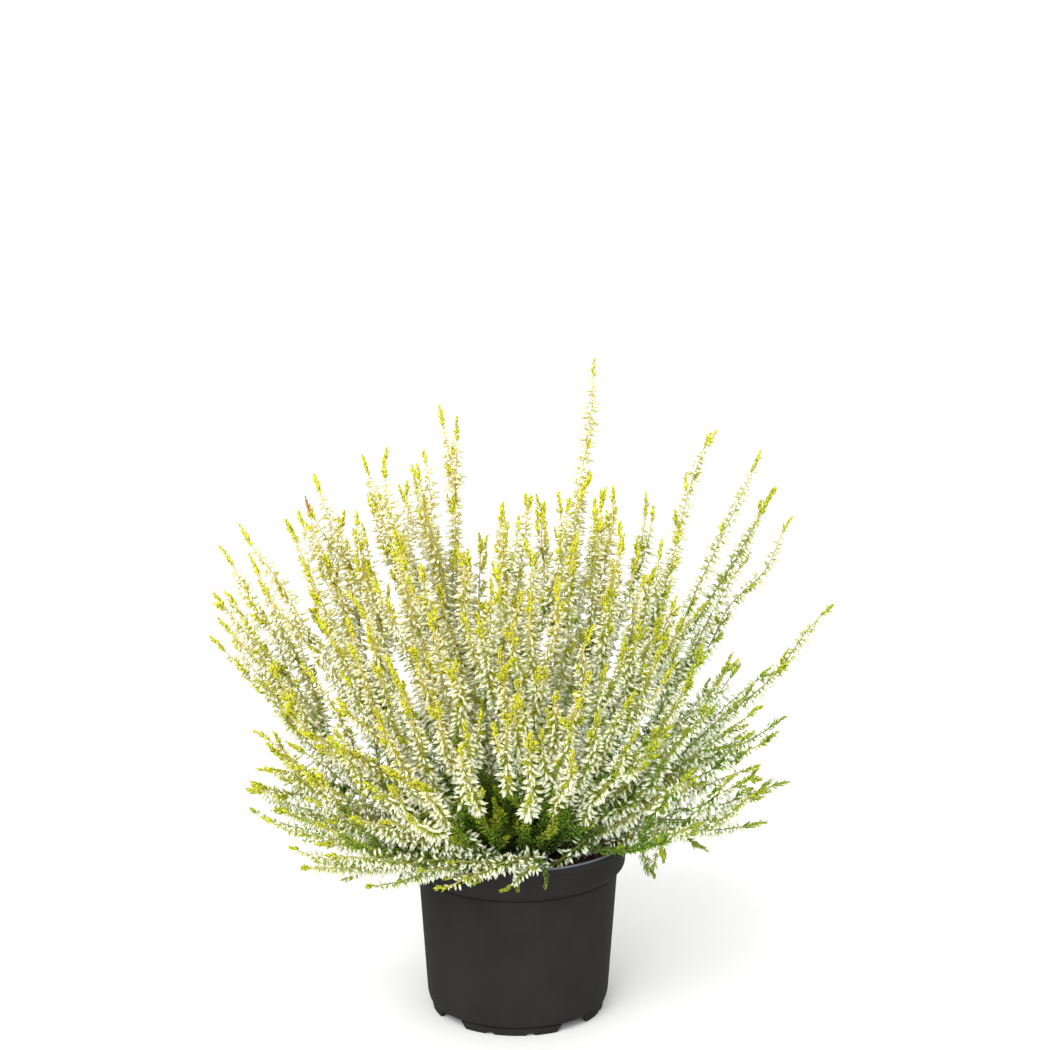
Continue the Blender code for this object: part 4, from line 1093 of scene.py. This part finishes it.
def potOutline():
    # radius, height and rounding: up the outside from the middle of the underside, and down the inside
    ring, body, bodyTop, band, lip = (pot[key] for key in (
        "footRadius", "bodyFootRadius", "bodyTopRadius", "bandRadius", "lipRadius"))
    top, foot, wall, groove, heel = (pot[key] for key in (
        "height", "footHeight", "wall", "grooveDepth", "heelDepth"))
    bandFoot, lipFoot, floor = top - pot["bandHeight"], top - pot["lipHeight"], foot + pot["floor"]
    inner, bandLow, chamfer = ring - pot["footWidth"], band - pot["bandSlope"], bandFoot + pot["bandChamfer"]
    return roundedOutline([
        (0, foot, 0), (inner, foot, 0), (inner, 0, 0.3 * mm), (ring - 0.3 * mm, 0, 0.4 * mm),
        (ring, foot - 0.7 * mm, 0.15 * mm), (ring - groove, foot - 0.5 * mm, 0.1 * mm),
        (ring - groove, foot + 0.1 * mm, 0.1 * mm), (body - heel, foot + heel / 2, 0.4 * mm),
        (body, foot + pot["heelHeight"], 2.5 * mm), (bodyTop, bandFoot - 1.1 * mm, 0.3 * mm),
        (bodyTop - groove, bandFoot - 0.6 * mm, 0.2 * mm), (bodyTop - groove, bandFoot, 0.2 * mm),
        (bodyTop + 0.9 * mm, bandFoot + 0.2 * mm, 0.3 * mm), (bandLow, chamfer, 1.2 * mm),
        (band, lipFoot - pot["lipUndercut"], 0.3 * mm),
        (lip - pot["lipRound"] / 2, lipFoot, 0.6 * mm), (lip, top - pot["lipHeight"] / 2, 1.4 * mm),
        (lip - pot["lipRound"], top, 1 * mm), (band + wall, top - pot["lipUndercut"], 0.6 * mm),
        (band - wall, top - 2 * wall, 1.2 * mm), (bandLow - wall, chamfer + wall / 2, 1 * mm),
        (bodyTop - wall, bandFoot - wall / 2, 1 * mm), (body - wall, floor + 3 * mm, 1 * mm),
        (body - 3 * mm, floor, 1 * mm), (0, floor, 0),
    ])


def turned(name, outline, sides):
    bm = bmesh.new()
    points = [bm.verts.new((radius, 0, height)) for radius, height in outline]
    edges = [bm.edges.new(pair) for pair in zip(points, points[1:])]
    bmesh.ops.spin(bm, geom=points + edges, cent=(0, 0, 0), axis=(0, 0, 1), angle=2 * math.pi,
                   steps=sides, use_merge=True)
    bmesh.ops.remove_doubles(bm, verts=bm.verts, dist=0.01 * mm)
    return meshObject(name, bm)


def footCutter(height, middle, width, slant):
    # a block across the foot ring, wider at its foot
    inner = pot["footRadius"] - pot["footWidth"] - pot["footCutInside"]
    outer = pot["footRadius"] + pot["footCutOutside"]
    count = pot["footCutSteps"]
    bm = bmesh.new()
    for level, wide in ((-1 * mm, width + 2 * slant), (height, width - slant)):
        for radius in (inner, outer):
            for k in range(count + 1):
                bm.verts.new(polar(radius, middle + wide * (k / count - 0.5), level))
    bmesh.ops.convex_hull(bm, input=bm.verts)
    return meshObject("cutter", bm)


def drainCutter(angle):
    radius = pot["drainHoleRadius"]
    bm = bmesh.new()
    bmesh.ops.create_cone(bm, cap_ends=True, segments=pot["drainHoleSides"], radius1=radius,
                          radius2=radius, depth=pot["drainCutDepth"])
    middle = polar(pot["drainRingRadius"], angle, pot["footHeight"] + pot["floor"] / 2)
    bmesh.ops.translate(bm, vec=middle, verts=bm.verts)
    return meshObject("cutter", bm)


def buildPot(mottle):
    body = turned("nurseryPot", potOutline(), pot["sides"])
    cutters = [drainCutter(pot["feetTurn"] + 2 * math.pi * (k + 0.5) / pot["drainHoles"])
               for k in range(pot["drainHoles"])]
    for k in range(pot["feet"]):
        middle = pot["feetTurn"] + 2 * math.pi * k / pot["feet"]
        cutters.append(footCutter(pot["footHeight"] - pot["heelDepth"] / 2, middle + math.pi / pot["feet"],
                                  pot["wideGap"], pot["gapSlant"]))
        for side in (-1, 1):
            cutters.append(footCutter(pot["smallNotchHeight"], middle + side * pot["smallNotchOffCentre"],
                                      pot["smallNotch"], pot["notchSlant"]))
    group = bpy.data.collections.new("cutters")
    bpy.context.scene.collection.children.link(group)
    for piece in cutters:
        bpy.context.scene.collection.objects.unlink(piece)
        group.objects.link(piece)
    cut = body.modifiers.new("cuts", "BOOLEAN")
    cut.operation = "DIFFERENCE"
    cut.operand_type = "COLLECTION"
    cut.collection = group
    cut.solver = "EXACT"
    made = keepResult(body, cut)
    for piece in cutters:
        bpy.data.objects.remove(piece)
    bpy.data.collections.remove(group)
    made.materials.clear()
    made.materials.append(plasticMaterial(mottle))
    made.shade_smooth()
    made.set_sharp_from_angle(angle=pot["sharpFrom"])
    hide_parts("pot")
    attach(body, "root")
    print("pot:", len(made.polygons), "faces")


# Soil: a lumpy top, strewn with crumbs and fibres
peat = {"rings": 44, "around": 120, "lumps": 1.5 * mm, "lumpScale": 260, "grain": 0.7 * mm,
        "grainScale": 900, "facingUp": 0.3, "tilt": 0.4, "sizeSpread": (0.4, 1.3), "crumbLump": 0.45,
        "crumbFlatness": 0.7,
        "strewn": {"Crumb Density": 50000.0, "Fibre Density": 24000.0, "Crumb Size": 1.0 * mm,
                   "Fibre Length": 4.5 * mm, "Seed": 3}}


def soilTop(x, y):
    crown = soil["crown"] * (1 - math.hypot(x, y) / pot["bandRadius"])
    wave = math.sin(x * 190) * math.cos(y * 230 + 1) + 0.5 * math.sin(x * 410 + y * 350)
    place = Vector((x, y, 0))
    rough = peat["lumps"] * noise.noise(place * peat["lumpScale"])
    rough += peat["grain"] * noise.noise(place * peat["grainScale"])
    return pot["height"] - soil["drop"] + crown + soil["lump"] * wave + rough


def peatMesh():
    # rings over the top, then the side, then the bottom's middle
    edge = pot["bandRadius"] - pot["bandSlope"] - pot["wall"] - 2 * soil["gap"]
    bandFoot = pot["height"] - pot["bandHeight"]
    bottom = pot["footHeight"] + pot["floor"] + soil["gap"]
    around = peat["around"]
    rings = [(edge * ring / peat["rings"], None) for ring in range(1, peat["rings"] + 1)]
    rings += [(edge, bandFoot + pot["bandChamfer"] + 1 * mm),
              (pot["bodyTopRadius"] - pot["wall"] - 2 * soil["gap"], bandFoot - 1 * mm),
              (pot["bodyFootRadius"] - pot["wall"] - 2 * mm, bottom)]
    verts = [(0, 0, soilTop(0, 0))]
    for radius, height in rings:
        for k in range(around):
            x, y, _ = polar(radius, 2 * math.pi * k / around, 0)
            verts.append((x, y, soilTop(x, y) if height is None else height))
    mesh = bpy.data.meshes.new("peat")
    mesh.from_pydata(verts + [(0, 0, bottom)], [], ringFaces(len(rings), around))
    return placed("peat", mesh)


def strewTree():
    # crumbs and fibres strewn on the faces that look up
    tree, given, result = newTree(
        "strewnSoil",
        {"Geometry": "Geometry", "Crumb Density": 1000.0, "Fibre Density": 1000.0, "Crumb Size": 0.001,
         "Fibre Length": 0.004, "Seed": 0, "Crumb": "Object", "Fibre": "Object",
         "Soil Material": "Material"},
        {"Geometry": "Geometry"})
    up = heightOf(addNode(tree, "GeometryNodeInputNormal")[0])
    high = heightOf(addNode(tree, "GeometryNodeInputPosition")[0])
    topSide = times(maths("GREATER_THAN", up, peat["facingUp"]),
                    maths("GREATER_THAN", high, pot["height"] - 2 * soil["drop"]))
    parts = [given["Geometry"]]
    for shape, size, offset in (("Crumb", "Crumb Size", 0.0), ("Fibre", "Fibre Length", 5.0)):
        seed = plus(given["Seed"], offset)
        points = addNode(tree, "GeometryNodeDistributePointsOnFaces", {
            "Mesh": given["Geometry"], "Selection": topSide, "Density": given[f"{shape} Density"],
            "Seed": seed})["Points"]
        limits = {"X": (-peat["tilt"], peat["tilt"]), "Y": (-peat["tilt"], peat["tilt"]),
                  "Z": (0.0, 2 * math.pi)}
        turns = {axis: between(*pair, plus(seed, k + 1.0)) for k, (axis, pair) in enumerate(limits.items())}
        turn = addNode(tree, "ShaderNodeCombineXYZ", turns)[0]
        scale = times(given[size], between(*peat["sizeSpread"], plus(seed, 4.0)))
        parts.append(repeatAt(points, given[shape], Rotation=turn, Scale=scale))
    wire(coated(joined(parts), given["Soil Material"]), result["Geometry"])
    return tree


def crumbShape():
    bm = bmesh.new()
    bmesh.ops.create_icosphere(bm, subdivisions=1, radius=0.5)
    for vert in bm.verts:
        vert.co *= 1 + peat["crumbLump"] * noise.noise(vert.co * 3 + Vector((4, 1, 7)))
        vert.co.z *= peat["crumbFlatness"]
    return meshObject("crumbShape", bm)


def fibreShape():
    bm = bmesh.new()
    bmesh.ops.create_cone(bm, cap_ends=True, segments=4, radius1=0.05, radius2=0.02, depth=1)
    bmesh.ops.rotate(bm, cent=(0, 0, 0), matrix=Matrix.Rotation(quarterTurn, 3, "X"), verts=bm.verts)
    return meshObject("fibreShape", bm)


def buildSoil(mottle):
    shapes = {"Crumb": crumbShape(), "Fibre": fibreShape()}
    finish = mottledMaterial("peat", mottle)[0]
    obj = grow(peatMesh(), strewTree(), **peat["strewn"], **shapes, **{"Soil Material": finish})
    for shape in shapes.values():
        bpy.data.objects.remove(shape)
    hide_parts("soil")
    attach(obj, "root")
    print("soil:", len(obj.data.polygons), "faces")


def mottleGroup():
    # two colours in soft patches with a fine grain over them, and the grain's height
    tree, given, result = newTree(
        "mottle",
        {"First": "Color", "Second": "Color", "Patch Scale": 60.0, "Grain Scale": 1500.0,
         "Grain Share": 0.3},
        {"Colour": "Color", "Height": "Float", "Patch": "Float"}, "ShaderNodeTree")
    place = addNode(tree, "ShaderNodeTexCoord")["Object"]
    patches, grains = (
        stretch(addNode(tree, "ShaderNodeTexNoise", {
            "Vector": place, "Scale": given[scale], "Detail": detail})[0], low, high)
        for scale, detail, low, high in (("Patch Scale", 3.0, 0.35, 0.65), ("Grain Scale", 2.0, 0.3, 0.7)))
    share = given["Grain Share"]
    mixed = plus(times(patches, minus(1.0, share)), times(grains, share))
    wire(blendColours(mixed, given["First"], given["Second"]), result["Colour"])
    wire(grains, result["Height"])
    wire(patches, result["Patch"])
    return tree


mottled = {
    "blackPlastic": {
        "roughness": 0.5, "strength": 0.12, "depth": 0.05 * mm,
        "inputs": {"First": (0.0185, 0.0178, 0.0174, 1), "Second": (0.025, 0.0241, 0.0234, 1),
                   "Patch Scale": 45.0, "Grain Scale": 1800.0, "Grain Share": 0.35}},
    "peat": {
        "roughness": 0.95, "strength": 0.6, "depth": 0.3 * mm,
        "inputs": {"First": (0.050, 0.021, 0.015, 1), "Second": (0.22, 0.085, 0.060, 1),
                   "Patch Scale": 420.0, "Grain Scale": 2600.0, "Grain Share": 0.5}},
}
# lip is a painted highlight colour on the lip's top edge, from lipLow up to lipHigh; lipRoughness is its
# wear
plastic = {"specular": 0.03, "smooth": 0.6, "rough": 0.72, "lip": (0.25, 0.27, 0.32, 1),
           "lipLow": 95.0 * mm, "lipHigh": 95.9 * mm, "lipRoughness": 0.32}


def mottledMaterial(name, mottle):
    look = mottled[name]
    made, tree, shader = newMaterial(name, look["roughness"])
    group = addNode(tree, "ShaderNodeGroup", look["inputs"], node_tree=mottle)
    wire(group["Colour"], shader["Base Color"])
    bump = {"Height": group["Height"], "Strength": look["strength"], "Distance": look["depth"]}
    wire(addNode(tree, "ShaderNodeBump", bump)[0], shader["Normal"])
    return made, tree, shader, group


def plasticMaterial(mottle):
    made, tree, shader, group = mottledMaterial("blackPlastic", mottle)
    shader["Specular IOR Level"].default_value = plastic["specular"]
    # the lip's top edge has a painted highlight in a lighter colour, and is worn smoother
    height = heightOf(addNode(tree, "ShaderNodeTexCoord")["Object"])
    paintedHighlightAndWear = stretch(height, plastic["lipLow"], plastic["lipHigh"])
    # painted highlight: the lighter lip colour over the top edge
    wire(blendColours(paintedHighlightAndWear, group["Colour"], plastic["lip"]), shader["Base Color"])
    rough = stretch(group["Patch"], 0.0, 1.0, plastic["smooth"], plastic["rough"])
    worn = times(paintedHighlightAndWear, minus(rough, plastic["lipRoughness"]))
    wire(minus(rough, worn), shader["Roughness"])
    return made


# Floor, light and camera
studio = {"floorSize": 40, "floorColour": (0.94, 0.94, 0.94, 1), "floorRoughness": 0.9,
          "worldLight": 1.0, "softness": math.radians(35),
          "suns": (("key", 1.78, (46, 0, -28)), ("fill", 0.8, (70, 0, -6)))}
view = {"place": bush["eye"], "aim": Vector((3.7, 0, 258.6)) * mm, "lens": 101.93, "sensor": 36}


def buildStudio():
    bpy.ops.mesh.primitive_plane_add(size=studio["floorSize"])
    floor = bpy.context.object
    floor.name = "floor"
    made, _, shader = newMaterial("paleFloor", studio["floorRoughness"])
    shader["Base Color"].default_value = studio["floorColour"]
    floor.data.materials.append(made)
    world = bpy.data.worlds.new("studio")
    world.use_nodes = True
    background = world.node_tree.nodes["Background"].inputs
    background["Color"].default_value = (1, 1, 1, 1)
    background["Strength"].default_value = studio["worldLight"]
    bpy.context.scene.world = world
    for name, strength, turn in studio["suns"]:
        light = bpy.data.lights.new(name, "SUN")
        light.energy = strength
        light.angle = studio["softness"]
        placed(name, light).rotation_euler = [math.radians(angle) for angle in turn]
    print("studio ready")


def buildCamera():
    camera = bpy.data.cameras.new("camera")
    camera.lens = view["lens"]
    camera.sensor_width = view["sensor"]
    camera.clip_start = 50 * mm
    obj = placed("camera", camera)
    obj.location = view["place"]
    obj.rotation_euler = (view["aim"] - view["place"]).to_track_quat("-Z", "Y").to_euler()
    bpy.context.scene.camera = obj
    bpy.context.scene.view_settings.view_transform = "Standard"
    print("camera ready")


mottle = mottleGroup()
buildPot(mottle)
buildSoil(mottle)
buildSprays()
buildStudio()
buildCamera()
